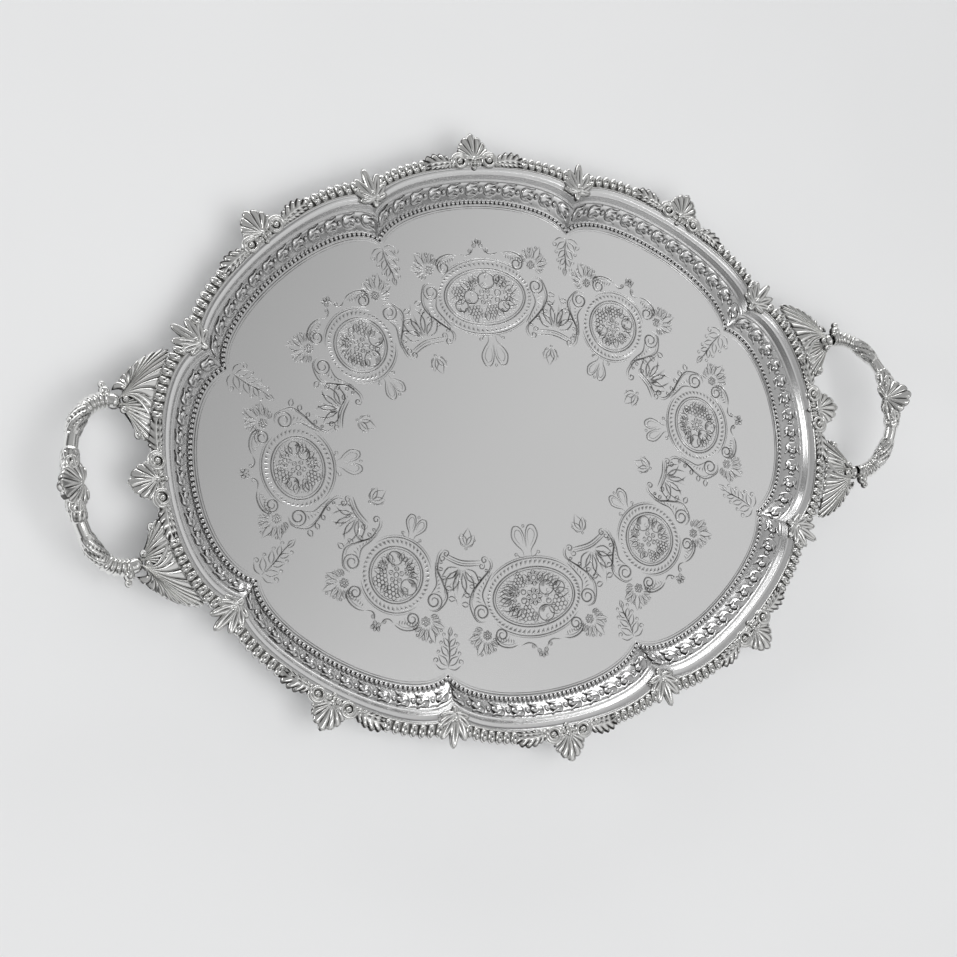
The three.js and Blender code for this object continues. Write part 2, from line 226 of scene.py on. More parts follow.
def mix_colours(tree, factor, first, second):
    """A colour that goes from the first to the second with the factor."""
    node = tree.nodes.new("ShaderNodeMix")
    node.data_type = "RGBA"
    tree.links.new(factor, node.inputs["Factor"])
    for label, value in (("A", first), ("B", second)):
        socket = next(s for s in node.inputs if s.name == label and s.type == "RGBA")
        if isinstance(value, tuple):
            socket.default_value = value
        else:
            tree.links.new(value, socket)
    return next(s for s in node.outputs if s.type == "RGBA")


def noise(tree, position, scale, detail=2.0):
    node = tree.nodes.new("ShaderNodeTexNoise")
    node.inputs["Scale"].default_value = scale
    node.inputs["Detail"].default_value = detail
    tree.links.new(position, node.inputs["Vector"])
    return node.outputs["Fac"]


print("node helpers ready")


# %% Node group: dark recesses, from tarnish and painted shade
def make_recess_group():
    group, inside, outside = new_group(
        "tarnish_and_painted_shade",
        [
            ("Depth", "NodeSocketFloat", 0.0),
            ("Amount", "NodeSocketFloat", 1.0),
            ("Silver", "NodeSocketColor", (0.9, 0.9, 0.88, 1)),
            ("Tarnish And Shade", "NodeSocketColor", (0.03, 0.027, 0.025, 1)),
            ("Bright Roughness", "NodeSocketFloat", 0.12),
        ],
        [("Color", "NodeSocketColor"), ("Roughness", "NodeSocketFloat")],
    )
    place = group.nodes.new("ShaderNodeTexCoord").outputs["Object"]
    patchy = noise(group, place, 90.0, 3.0)
    uneven = math_node(group, "MULTIPLY_ADD", patchy, 0.5, -0.25)
    depth = math_node(group, "ADD", inside.outputs["Depth"], uneven)
    ramp = group.nodes.new("ShaderNodeMapRange")
    ramp.interpolation_type = "SMOOTHSTEP"
    ramp.inputs["From Min"].default_value = 0.2
    ramp.inputs["From Max"].default_value = 0.9
    group.links.new(depth, ramp.inputs["Value"])
    # dark: how far the silver goes to near black by the recess value, as tarnish and as painted shade
    dark = math_node(group, "MULTIPLY", ramp.outputs["Result"], inside.outputs["Amount"])
    colour = mix_colours(group, dark, inside.outputs["Silver"], inside.outputs["Tarnish And Shade"])
    group.links.new(colour, outside.inputs["Color"])
    rougher = math_node(group, "MULTIPLY", dark, 0.45)
    rough = math_node(group, "ADD", rougher, inside.outputs["Bright Roughness"])
    group.links.new(rough, outside.inputs["Roughness"])
    return group


recess_group = make_recess_group()
print("group:", recess_group.name)


# %% Node group: polishing haze
def make_haze_group():
    group, inside, outside = new_group(
        "polishing_haze",
        [
            ("Roughness", "NodeSocketFloat", 0.1),
            ("Haze", "NodeSocketFloat", 0.06),
        ],
        [("Roughness", "NodeSocketFloat"), ("Height", "NodeSocketFloat")],
    )
    place = group.nodes.new("ShaderNodeTexCoord").outputs["Object"]
    stretch = group.nodes.new("ShaderNodeMapping")
    stretch.inputs["Rotation"].default_value = (0, 0, math.radians(35))
    stretch.inputs["Scale"].default_value = (1.0, 14.0, 1.0)
    group.links.new(place, stretch.inputs["Vector"])
    hairlines = noise(group, stretch.outputs["Vector"], 160.0, 4.0)
    cloudy = noise(group, place, 14.0, 3.0)
    mixed = math_node(group, "MULTIPLY", hairlines, cloudy)
    more = math_node(group, "MULTIPLY", mixed, inside.outputs["Haze"])
    total = math_node(group, "ADD", more, inside.outputs["Roughness"])
    group.links.new(total, outside.inputs["Roughness"])
    group.links.new(hairlines, outside.inputs["Height"])
    return group


haze_group = make_haze_group()
print("group:", haze_group.name)


# %% The four silver finishes
SHEET_COLOUR = (0.905, 0.905, 0.905, 1)
CHASED_COLOUR = (0.91, 0.91, 0.91, 1)
CAST_COLOUR = (0.90, 0.90, 0.885, 1)
GRAIN_DEPTH = 0.02  # millimetres


def silver(name, colour, roughness, haze, shade_and_tarnish_amount, grain):
    """Silver whose recesses go black with tarnish and painted shade, with a fine grain left by polishing.
    """
    material = bpy.data.materials.new(name)
    material.use_nodes = True
    tree = material.node_tree
    shader = tree.nodes["Principled BSDF"]
    shader.inputs["Metallic"].default_value = 1.0
    polish = tree.nodes.new("ShaderNodeGroup")
    polish.node_tree = haze_group
    polish.inputs["Roughness"].default_value = roughness
    polish.inputs["Haze"].default_value = haze
    # the recess value of each point sets its painted shade and tarnish
    depth = tree.nodes.new("ShaderNodeAttribute")
    depth.attribute_name = "shade_and_tarnish"
    dark = tree.nodes.new("ShaderNodeGroup")
    dark.node_tree = recess_group
    dark.inputs["Silver"].default_value = colour
    dark.inputs["Amount"].default_value = shade_and_tarnish_amount
    tree.links.new(depth.outputs["Fac"], dark.inputs["Depth"])
    tree.links.new(polish.outputs["Roughness"], dark.inputs["Bright Roughness"])
    tree.links.new(dark.outputs["Color"], shader.inputs["Base Color"])
    tree.links.new(dark.outputs["Roughness"], shader.inputs["Roughness"])
    bump = tree.nodes.new("ShaderNodeBump")
    bump.inputs["Strength"].default_value = grain
    bump.inputs["Distance"].default_value = GRAIN_DEPTH * MM
    tree.links.new(polish.outputs["Height"], bump.inputs["Height"])
    tree.links.new(bump.outputs["Normal"], shader.inputs["Normal"])
    return material


POLISHED = silver(
    "polished_sheet_silver", SHEET_COLOUR, roughness=0.24, haze=0.06, shade_and_tarnish_amount=0.9, grain=0.06
)
CHASED = silver("chased_silver", CHASED_COLOUR, roughness=0.12, haze=0.06, shade_and_tarnish_amount=0.95, grain=0.15)
CAST = silver("cast_silver", CAST_COLOUR, roughness=0.12, haze=0.14, shade_and_tarnish_amount=0.97, grain=0.4)
HANDLE = silver("handle_silver", CAST_COLOUR, roughness=0.14, haze=0.12, shade_and_tarnish_amount=0.95, grain=0.35)
print("finishes:", [finish.name for finish in (POLISHED, CHASED, CAST, HANDLE)])


# %% [markdown]
# ## A bench for surfaces
# Silver ornament is a heap of small curved forms soldered or cast together. Each form here is one
# grid of points, made by a formula, and a bench gathers the grids of one piece before they become
# a mesh. Each point also carries a recess value: 0 on the high parts and 1 in the deepest corners,
# under strands and on hidden walls, which the materials turn black as tarnish and as painted shade.


# %% Bench
BACK_SHADE = 0.15  # painted shade on the plain back of a casting
WALL_SHADE = 0.8  # painted shade on the side walls of a casting
WELD = 0.004  # points closer than this are one point


def rim(points):
    """The outer points of a grid, in order round it."""
    return np.concatenate([points[0, :-1], points[:-1, -1], points[-1, :0:-1], points[:0:-1, 0]])


def outflow(points, faces):
    """Above 0 where the faces turn away from the lowest middle point of the sheet."""
    a, b, c, d = (points[faces[:, k]] for k in range(4))
    middle = points.mean(axis=0)
    middle[2] = points[:, 2].min()
    return np.einsum("ij,ij->", (a + b + c + d) / 4 - middle, np.cross(c - a, d - b))


class Bench:
    """Collects grids of points for one piece, in millimetres."""

    def __init__(self):
        self.points = []
        self.faces = []
        self.flat = []
        self.shade_and_tarnish = []
        self.count = 0

    def grid(self, points, shade_and_tarnish, closed=False, facing_up=True):
        """Adds a sheet of quads; closed joins its last column to its first."""
        rows, cols = points.shape[:2]
        number = np.arange(rows * cols).reshape(rows, cols)
        if closed:
            number = np.concatenate([number, number[:, :1]], axis=1)
        corners = [number[:-1, :-1], number[:-1, 1:], number[1:, 1:], number[1:, :-1]]
        faces = np.stack(corners, axis=-1).reshape(-1, 4)
        points = points.reshape(-1, 3)
        if outflow(points, faces) * (1 if facing_up else -1) < 0:
            faces = faces[:, ::-1]
        self.faces.append(faces + self.count)
        self.flat.append(np.zeros(len(faces), bool))
        self.points.append(points)
        self.shade_and_tarnish.append(np.broadcast_to(shade_and_tarnish, (rows, cols)).reshape(-1))
        self.count += rows * cols

    def slab(self, points, shade_and_tarnish, bottom):
        """Adds a sheet with a flat back and walls darkened with painted shade, so that it is solid."""
        back = points.copy()
        back[..., 2] = np.minimum(bottom, points[..., 2])
        self.grid(points, shade_and_tarnish)
        self.grid(back, BACK_SHADE, facing_up=False)
        self.grid(np.stack([rim(back), rim(points)]), WALL_SHADE, closed=True)

    def add(self, points, shade_and_tarnish, closed=False, bottom=None):
        """Adds a sheet, or a solid down to the bottom when one is given."""
        if bottom is None:
            self.grid(points, shade_and_tarnish, closed=closed)
        else:
            self.slab(points, shade_and_tarnish, bottom)

    def triangles(self, points, faces, shade_and_tarnish):
        """Adds flat-shaded triangles."""
        self.faces.append(np.concatenate([faces, faces[:, :1]], axis=1) + self.count)
        self.flat.append(np.ones(len(faces), bool))
        self.points.append(points)
        self.shade_and_tarnish.append(shade_and_tarnish)
        self.count += len(points)

    def copy_of(self, other, mirror):
        """Adds another bench's work, mirrored by a vector of 1 and -1."""
        for points, faces, flat, shade_and_tarnish in zip(other.points, other.faces, other.flat, other.shade_and_tarnish):
            flipped = faces[:, ::-1] if np.prod(mirror) < 0 else faces
            self.points.append(points * mirror)
            self.faces.append(flipped + self.count)
            self.flat.append(flat)
            self.shade_and_tarnish.append(shade_and_tarnish)
        self.count += other.count

    def make(self, name, material, weld=True):
        """Turns the gathered work into one Blender object."""
        points = np.concatenate(self.points) * MM
        faces = [
            row[:3] if row[0] == row[3] else row for row in np.concatenate(self.faces).tolist()
        ]
        mesh = bpy.data.meshes.new(name)
        mesh.from_pydata(points.tolist(), [], faces)
        smooth = ~np.concatenate(self.flat)
        mesh.polygons.foreach_set("use_smooth", smooth)
        depth = mesh.attributes.new("shade_and_tarnish", "FLOAT", "POINT")
        depth.data.foreach_set("value", np.concatenate(self.shade_and_tarnish).astype(np.float32))
        if weld:
            work = bmesh.new()
            work.from_mesh(mesh)
            bmesh.ops.remove_doubles(work, verts=work.verts, dist=WELD * MM)
            work.to_mesh(mesh)
            work.free()
        mesh.materials.append(material)
        piece = bpy.data.objects.new(name, mesh)
        bpy.context.scene.collection.objects.link(piece)
        return piece


def stand_for(piece, slot, *nodes):
    """Fastens a finished piece to the frame, in place of the solids it stands for."""
    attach(piece, "root")
    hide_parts(*nodes)
    print(piece.name, "has", len(piece.data.polygons), "faces")


# %% [markdown]
# ## The forms
# Five forms make all the ornament: a dome for beads and bosses, a tube for scrolls, a leaf with
# lobes and veins, a fan with flutes, and a flat ground under them. Each is made lying flat, with x
# along the work, y across it and z up from it, and is then bent into place.


# %% Smooth curves through a few points
def smooth_path(points, count):
    """A Catmull-Rom curve through the points, at equal steps of parameter."""
    points = np.array(points, float)
    ends = [2 * points[0] - points[1], *points, 2 * points[-1] - points[-2]]
    knots = np.array(ends)
    place = np.linspace(0, len(points) - 1, count)
    span = np.minimum(place.astype(int), len(points) - 2)
    t = (place - span)[:, None]
    a, b, c, d = (knots[span + k] for k in range(4))
    return 0.5 * (2 * b + (c - a) * t + (2 * a - 5 * b + 4 * c - d) * t**2 + (3 * b - a - 3 * c + d) * t**3)


def tangents(path):
    """The unit direction of a line at each of its points."""
    ahead = np.gradient(path, axis=0)
    return ahead / np.maximum(np.linalg.norm(ahead, axis=1, keepdims=True), 1e-9)


print("five points give", len(smooth_path([(0, 0), (1, 0), (2, 1), (3, 1), (4, 0)], 9)))


# %% Dome and tube
DOME_SUNK = -0.45  # the angle below its equator at which a bead meets the work, in radians


def dome(centre, half_x, half_y, height, rows=7, cols=14, turn=0.0, dark=1.1):
    """A bead or boss that stands on the work, a little sunk into it, with painted shade at its foot."""
    rise = np.linspace(DOME_SUNK, math.pi / 2, rows)[:, None]
    round_it = np.linspace(0, 2 * math.pi, cols, endpoint=False)[None, :]
    x = half_x * np.cos(rise) * np.cos(round_it)
    y = half_y * np.cos(rise) * np.sin(round_it)
    z = height * np.sin(rise) + 0 * x
    c, s = math.cos(turn), math.sin(turn)
    points = np.stack([centre[0] + c * x - s * y, centre[1] + s * x + c * y, centre[2] + z], axis=-1)
    shade_and_tarnish = np.clip(dark - 1.7 * np.sin(rise), 0, 1) + 0 * x
    return points, shade_and_tarnish


def round_bar(path, radius, angle, flatten=1.0):
    """Points round a path: the radius has a row for each of its points and a column for each angle."""
    ahead = tangents(path)
    side = np.cross([0.0, 0.0, 1.0], ahead)
    side /= np.maximum(np.linalg.norm(side, axis=1, keepdims=True), 1e-9)
    above = np.cross(ahead, side)
    around = np.cos(angle)[None, :, None] * side[:, None, :]
    around = around + flatten * np.sin(angle)[None, :, None] * above[:, None, :]
    return path[:, None, :] + radius[..., None] * around


def tube(path, radius, sides=9, flatten=1.0):
    """A round strand along a path, with painted shade on its underside; a radius of 0 at an end closes it.
    """
    angle = np.linspace(0, 2 * math.pi, sides, endpoint=False)
    shade_and_tarnish = np.clip(0.55 - 0.9 * np.sin(angle), 0, 1)[None, :]
    return round_bar(path, radius[:, None], angle, flatten), shade_and_tarnish


def rounded(length, cap=0.08):
    """A radius profile of 1 that closes at both ends."""
    t = np.linspace(0, 1, length)
    return np.sqrt(np.clip(np.minimum(t, 1 - t) / cap, 0, 1))


def skirted(grid, shade_and_tarnish, depth=-0.3):
    """Adds a wall round a form, down to the given height, black with painted shade."""
    walled = np.stack([np.pad(grid[..., k], 1, mode="edge") for k in range(3)], axis=-1)
    dark = np.pad(np.broadcast_to(shade_and_tarnish, grid.shape[:2]), 1, constant_values=1.0)
    for side in (walled[0], walled[-1], walled[:, 0], walled[:, -1]):
        side[..., 2] = depth
    return walled, dark


print("dome grid", dome((0, 0, 0), 1, 1, 1)[0].shape)


# %% Leaf
def leaf(spine, widths, height, lobes=5, notch=0.35, rows=38, cols=13, sweep=0.55):
    """An acanthus leaf: lobes along both edges, a vein to each lobe, and a raised midrib.
    The spine's third number is the leaf's height above its ground."""
    u = np.linspace(0, 1, rows)
    spine = smooth_path(spine, rows)
    ahead = tangents(spine)
    side = np.stack([-ahead[:, 1], ahead[:, 0]], axis=1)
    v = np.linspace(-1, 1, cols)[None, :]
    width = np.where(v < 0, widths[0], widths[1])
    phase = (u * lobes)[:, None]
    beat = np.abs(np.sin(math.pi * (phase % 1.0)))
    body = ((u + 0.06) ** 0.45 * (1.001 - u) ** 0.5 * 1.45)[:, None]
    edge = 1 - notch * (1 - beat**0.7) * np.abs(v) ** 1.5
    out = width * body * edge * v
    on = sweep * width * body * v**2
    plan = spine[:, None, :2] + side[:, None, :] * out[..., None] + ahead[:, None, :2] * on[..., None]
    crown = np.sqrt(np.clip(1 - np.abs(v) ** 2.4, 0, 1)) * np.clip(body * 1.2, 0, 1)
    veins = np.cos(2 * math.pi * (phase - 0.5 - 0.45 * np.abs(v))) * np.abs(v) * (1 - np.abs(v) ** 4)
    midrib = np.exp(-((v / 0.13) ** 2)) * (1 - u)[:, None] ** 0.3
    z = spine[:, 2:] + height * (0.66 * crown + 0.24 * veins + 0.24 * midrib)
    # painted shade in the veins, the notches and at the edges, lighter on the crown and midrib
    shade_and_tarnish = np.clip(0.9 - 0.6 * crown - 1.2 * veins - 0.4 * midrib, 0, 1)
    return np.concatenate([plan, z[..., None]], axis=-1), shade_and_tarnish


print("leaf grid", leaf([(0, 0, 1), (10, 0, 1)], (4, 4), 2)[0].shape)


# %% Fan
def fan(reaches, flutes, height, rows=14, per_flute=6, base=0.8, lift=0.0):
    """A shell: flutes spread from the origin, with a groove between each two. Reaches are pairs of
    an angle from the middle and the shell's length there."""
    angles, lengths = np.array(reaches, float).T
    half = math.radians(angles[-1])
    phi = np.linspace(-half, half, flutes * per_flute + 1)
    length = np.interp(np.abs(phi), np.radians(angles), lengths)
    beat = np.abs(np.sin(math.pi * (phi + half) / (2 * half) * flutes)) ** 0.4
    length = length * (1 - 0.08 * (1 - beat))
    r = np.linspace(0.04, 1, rows)[:, None]
    swell = np.sin(math.pi * np.clip(0.12 + 0.8 * r, 0, 1)) ** 0.6
    fade = np.clip((r - 0.12) * 4, 0, 1)
    z = base + height * swell * (1 - 0.5 * fade * (1 - beat)) + lift * r**2
    # painted shade in the grooves between the flutes, strongest towards the root
    shade_and_tarnish = np.clip(fade * (1.35 - 1.5 * beat) * np.clip(4.2 - 4 * r, 0.25, 1), 0, 1)
    return np.stack([length * r * np.sin(phi), length * r * np.cos(phi), z], axis=-1), shade_and_tarnish


print("fan grid", fan([(0, 20), (90, 10)], 9, 3)[0].shape)


# %% [markdown]
# ## The body
# The body is one sheet of silver, hammered or pressed over a die: the flat field, a sloping band, a
# steep step, a hollow, and a flat flange that the cast border is soldered to. In the band, a row of
# husks is chased from above, and each stands in a soft hollow darkened with painted shade. The sheet
# is made lobe by lobe, so the mitre lines between the lobes stay sharp.


# %% The section of the border
BAND = [(0.0, 0.0), (1.9, 0.0), (2.5, 0.5), (5.0, 2.9), (9.0, 6.5), (13.0, 9.6), (14.6, 10.5)]
FILLET = [(15.0, 11.2), (15.6, 11.6), (16.2, 11.3), (16.4, 11.0)]
STEP = [(17.8, 13.2), (19.1, 15.4), (19.4, 15.9), (20.6, 16.0), (22.2, 16.4), (23.6, 17.3)]
FLANGE = [(across, FLANGE_RISE) for across in (24.4, 25.4, 33.6)] + [(34.0, FLANGE_RISE - 0.3)]
SECTION = BAND + FILLET + STEP + FLANGE  # across from the bead line, and up from the field
FLANGE_EDGE = SECTION[-1][0]
section_across, section_rise = np.array(SECTION).T


def rise_at(across):
    """The height of the sheet above the field."""
    return np.interp(across, section_across, section_rise)


def on_border(lobe, run, across, above=0.0):
    """A point above the sheet, with its height taken along the sheet's own normal."""
    run, across, above = np.broadcast_arrays(
        np.asarray(run, float), np.asarray(across, float), np.asarray(above, float)
    )
    slope = (rise_at(across + 0.8) - rise_at(across - 0.8)) / 1.6
    tall = 1 / np.sqrt(1 + slope**2)
    plan = lobe.plan(run, across - above * slope * tall)
    z = FIELD_TOP + rise_at(across) + above * tall
    return np.concatenate([plan, z[..., None]], axis=-1)


print("flange at", FIELD_TOP + rise_at(30.0))


# %% Husk places
HUSK_PITCH = 17.5
HUSK_ACROSS = 9.2
HUSK_REACH = (7.6, 5.5)  # half sizes of the hollow that each husk stands in
BEAD_REACH = (2.7, 2.5)  # half sizes of the hollow round its bead
BEAD_BEHIND = 9.0  # from the middle of a husk to the bead behind it
HOLLOW_DEPTH = 0.35


def husk_places(lobe):
    """The runs of the husks of one lobe, in the middle of equal shares of its band."""
    count = round((lobe.end - lobe.start) / HUSK_PITCH)
    pitch = (lobe.end - lobe.start) / count
    return lobe.start + pitch * (np.arange(count) + 0.5), pitch


print("husks:", sum(len(husk_places(lobe)[0]) for lobe in lobes))


# %% Sheet
BAND_LINES = [(0, 3, 6), (3, 14, 22), (14, 25, 30)]  # from, to and count, closest at the turns


def band_across():
    """Grid lines across the band."""
    lines = [np.linspace(start, end, count, endpoint=False) for start, end, count in BAND_LINES]
    return np.concatenate(lines + [np.array([25.4, 33.6, FLANGE_EDGE])])


def hollows(lobe, runs, across):
    """How far each point of the band lies in the hollow of a husk or its bead, from 0 to 1."""
    sunk = np.zeros((len(runs), across.shape[1]))
    places, pitch = husk_places(lobe)
    for place in places:
        for ahead, (long, wide) in ((0.0, HUSK_REACH), (BEAD_BEHIND, BEAD_REACH)):
            x = (runs - place - ahead * pitch / HUSK_PITCH) / long
            y = (across - HUSK_ACROSS) / wide
            sunk = np.maximum(sunk, np.clip(3.2 - 3.2 * np.sqrt(x**2 + y**2), 0, 1))
    return sunk


def sheet_of_lobe(bench, lobe):
    """The band and flange of one lobe: top, underside and the lip between them."""
    runs = np.linspace(lobe.start, lobe.end, 281)[:, None]
    across = band_across()[None, :]
    sunk = hollows(lobe, runs, across)
    # painted shade: dark in the husk hollows and in a strip of the band beside the beads
    beside_beads = np.clip(2.6 - 1.2 * across, 0, 1)
    shade = np.maximum(0.85 * sunk, beside_beads)
    top = on_border(lobe, runs, across, -HOLLOW_DEPTH * sunk)
    bench.grid(top, shade)
    under = np.linspace(0, FLANGE_EDGE, 30)[None, :]
    below = on_border(lobe, runs[::4], under)
    below[..., 2] -= SHEET
    bench.grid(below, 0.0, facing_up=False)
    lip = np.stack([below[:, -1], top[::4, -1]], axis=1)
    bench.grid(lip, 0.0)


sheet = Bench()
for lobe in lobes:
    sheet_of_lobe(sheet, lobe)
print("sheet points:", sheet.count)


# %% [markdown]
# ## The husks
# Each husk is punched from behind and chased from the front: a smooth cup with three tips that
# open the same way round the tray, and a bead behind it. They stand on the sloping band, so they
# are shaped flat and then laid along the slope.


# %% Husks
def husk_cup():
    """The cup of a husk, with x towards its three tips: a round base, a waist and flaring tips."""
    u = np.linspace(0, 1, 17)[:, None]
    v = np.linspace(-1, 1, 25)[None, :]
    end = 3.6 + 3.0 * np.abs(np.cos(math.pi * v)) ** 1.5 * np.where(np.abs(v) < 0.5, 0.75, 1)
    round_base = np.sqrt(np.clip(1 - (1 - np.clip(u / 0.34, 0, 1)) ** 2, 0, 1))
    flare = 1 - 0.16 * np.sin(math.pi * np.clip((u - 0.3) / 0.6, 0, 1)) + 0.2 * u**4
    x = -6.0 + u * (end + 6.0)
    y = 4.4 * round_base * flare * v
    crown = np.sqrt(np.clip(1 - 0.95 * v**2, 0, 1)) * round_base**0.6
    lip = 0.5 * np.exp(-(((u - 0.8) / 0.12) ** 2)) * np.cos(2 * math.pi * v)
    pit = np.exp(-(((u - 0.62) / 0.09) ** 2) - (v / 0.28) ** 2)
    split = np.exp(-(((np.abs(v) - 0.5) / 0.13) ** 2)) * np.clip((u - 0.42) * 3, 0, 1)
    z = 0.2 + 1.9 * crown * (1 - 0.35 * u) + lip - 0.7 * pit - 0.6 * split
    # painted shade round the rim of the cup, in its pit and along the splits between the tips
    edge = np.clip((np.abs(v) - 0.8) * 4, 0, 1) + np.clip((u - 0.9) * 6, 0, 1)
    shade_and_tarnish = np.clip(0.7 * edge + 0.8 * pit + 0.85 * split, 0, 1)
    return skirted(np.stack([x, y, z], axis=-1), shade_and_tarnish, -0.4)


def lay_husk(bench, lobe, place, stretch):
    """Lays one husk and its bead along the slope of the band."""
    bead = dome((-BEAD_BEHIND, 0.0, -0.35), 1.8, 1.8, 2.0, rows=6, cols=12)
    for (grid, shade_and_tarnish), closed in ((husk_cup(), False), (bead, True)):
        run = place - grid[..., 0] * stretch
        laid = on_border(lobe, run, HUSK_ACROSS + grid[..., 1], grid[..., 2])
        bench.grid(laid, shade_and_tarnish, closed=closed)


husks = Bench()
for lobe in lobes:
    places, pitch = husk_places(lobe)
    for place in places:
        lay_husk(husks, lobe, place, pitch / HUSK_PITCH)
husk_row = husks.make("chased_husks", CHASED)
stand_for(husk_row, "polished_silver", "tray_body")


# %% [markdown]
# ## The inner beads
# A strip of small round beads covers the line where the band rises from the field. Such strip was
# drawn through a die and stamped by the metre, then bent round and soldered down.

# %% Inner beads
BEAD_PITCH = 4.1
STRIP_ACROSS = [-2.3, -2.2, -1.9, -1.3, 1.2, 1.6]
STRIP_RISE = [0.02, 0.5, 0.6, 0.35, 0.35, 0.3]
STRIP_RECESS = [1.0, 0.0, 0.0, 1.0, 1.0, 0.4]  # a bright rim on the field's side, painted shade under the beads


def even_points(points, pitch):
    """Points at equal steps along a line."""
    steps = np.linalg.norm(np.diff(points, axis=0), axis=1)
    travelled = np.concatenate([[0], np.cumsum(steps)])
    count = max(round(travelled[-1] / pitch), 1)
    places = (np.arange(count) + 0.5) * travelled[-1] / count
    return np.stack([np.interp(places, travelled, points[:, k]) for k in range(2)], axis=1)


def beads_of_lobe(bench, lobe):
    """The beads along one lobe, and the strip that they are stamped from."""
    for x, y in even_points(bezier(lobe.inner, np.linspace(0, 1, 401)), BEAD_PITCH):
        centre = (x, y, FIELD_TOP + 0.25)
        bead = dome(centre, BEAD_RADIUS, BEAD_RADIUS * 1.05, BEAD_RADIUS * 1.25, dark=0.9)
        bench.grid(*bead, closed=True)
    run = np.linspace(lobe.start, lobe.end, 90)[:, None]
    plan = lobe.plan(*np.broadcast_arrays(run, np.array(STRIP_ACROSS)[None, :]))
    height = np.broadcast_to(FIELD_TOP + np.array(STRIP_RISE), plan.shape[:2])[..., None]
    bench.grid(np.concatenate([plan, height], axis=-1), np.array(STRIP_RECESS)[None, :])


small_beads = Bench()
for lobe in lobes:
    beads_of_lobe(small_beads, lobe)
beads = small_beads.make("inner_beads", CHASED)
stand_for(beads, "polished_silver", "bead_moulding")


# %% [markdown]
# ## The cast border
# Eight curved castings are soldered on top of the flange, one for each lobe. Each has a shell at its
# middle between two scrolls, a leaf on either side, and then a run of heavy beads up to the cusp.
# A casting is drawn flat, with x along it and y out from the bead line, and then bent to its lobe.


# %% Laying work on the border
def lay(bench, lobe, form, side=1, closed=False, run=0.0, across=0.0, bottom=None):
    """Bends a flat form to the lobe. With a bottom it becomes solid down to that height."""
    grid, shade_and_tarnish = form
    plan = lobe.plan(run + side * grid[..., 0], across + grid[..., 1])
    laid = np.concatenate([plan, CASTING_BASE + grid[..., 2:]], axis=-1)
    bench.add(laid, shade_and_tarnish, closed, None if bottom is None else CASTING_BASE + bottom)


def lay_knobs(bench, lobe, knobs, side=1):
    """Lays a row of knobs, each given by its middle, its half sizes and height, and the painted shade at
    its foot.
    """
    for centre, (half_x, half_y, height), dark in knobs:
        lay(bench, lobe, dome(centre, half_x, half_y, height, dark=dark), side, closed=True)


CUSP_HALF = 11.0  # half the width that a cusp shell takes from the castings
GROUND = [(24.7, -0.2), (24.8, 0.7), (25.2, 1.0), (25.6, 0.8), (25.9, 0.6), (32.6, 0.6), (33.2, -0.2)]
# painted shade on the ground under the ornament, none on the fillet
GROUND_RECESS = [0.5, 0.0, 0.0, 0.3, 0.7, 0.7, 0.6]


def casting_ground(bench, lobe):
    """The low strip under the ornament, darkened with painted shade, with a bright fillet along its inner
    edge.
    """
    across, rise = np.array(GROUND).T
    run = np.linspace(lobe.start + 4, lobe.end - 4, 120)[:, None]
    grid = np.stack(np.broadcast_arrays(run, across[None, :], rise[None, :]), axis=-1)
    lay(bench, lobe, (grid, np.array(GROUND_RECESS)[None, :]))


print("ground profile points:", len(GROUND))

# %% Heavy beads
HEAVY_PITCH = 6.9
LEAF_END = 43.5  # where the leaf stops and the heavy beads start


def heavy_beads(bench, lobe, side):
    """Double beads: a round head on the inner side, and a longer body that hangs over the edge."""
    far = min(-lobe.start, lobe.end) - CUSP_HALF
    count = round((far - LEAF_END) / HEAVY_PITCH)
    for place in LEAF_END + (far - LEAF_END) * (np.arange(count) + 0.5) / count:
        body = ((place, 30.6, 0.1), (3.25, 5.2, 3.5), 0.8)
        head = ((place, 27.9, 0.5), (2.9, 2.4, 4.0), 0.8)
        lay_knobs(bench, lobe, (body, head), side)
        # the eye is a small boss painted black: painted shade in the hollow of the bead
        eye, _ = dome((place, 30.3, 2.6), 1.0, 1.2, 1.25, 5, 8)
        lay(bench, lobe, (eye, 1.0), side, closed=True)


print("heavy bead pitch", HEAVY_PITCH)

# %% Scrolls, shell and leaf
SCROLL_PLACE = (13.4, 29.8)
SCROLL_REACH = 6.4
SHELL_ROOT = 30.5


def scroll(bench, lobe, side):
    """A volute: a round strand that winds in to a boss, on a low ground, with a berry beside it."""
    x0, y0 = SCROLL_PLACE
    # the ground round the volute is darkened with painted shade
    ground, _ = dome((x0, y0, -0.2), 7.0, 6.6, 1.8)
    lay(bench, lobe, (ground, 0.35), side, closed=True)
    t = np.linspace(0, 1, 60)
    angle = np.radians(215 - 560 * t)
    reach = SCROLL_REACH * (1 - 0.5 * t**1.5)
    x = x0 - reach * np.cos(angle)
    y = y0 + reach * np.sin(angle)
    path = np.stack([x, y, 2.0 + 1.4 * t], axis=1)
    lay(bench, lobe, tube(path, (1.9 - 0.6 * t) * rounded(60), flatten=1.25), side, closed=True)
    boss = ((x0, y0, 0.8), (3.0, 2.8, 5.0), 0.45)
    berry = ((x0 + 6.6, y0 - 3.0, 0.8), (2.0, 1.9, 3.0), 1.1)
    lay_knobs(bench, lobe, (boss, berry), side)


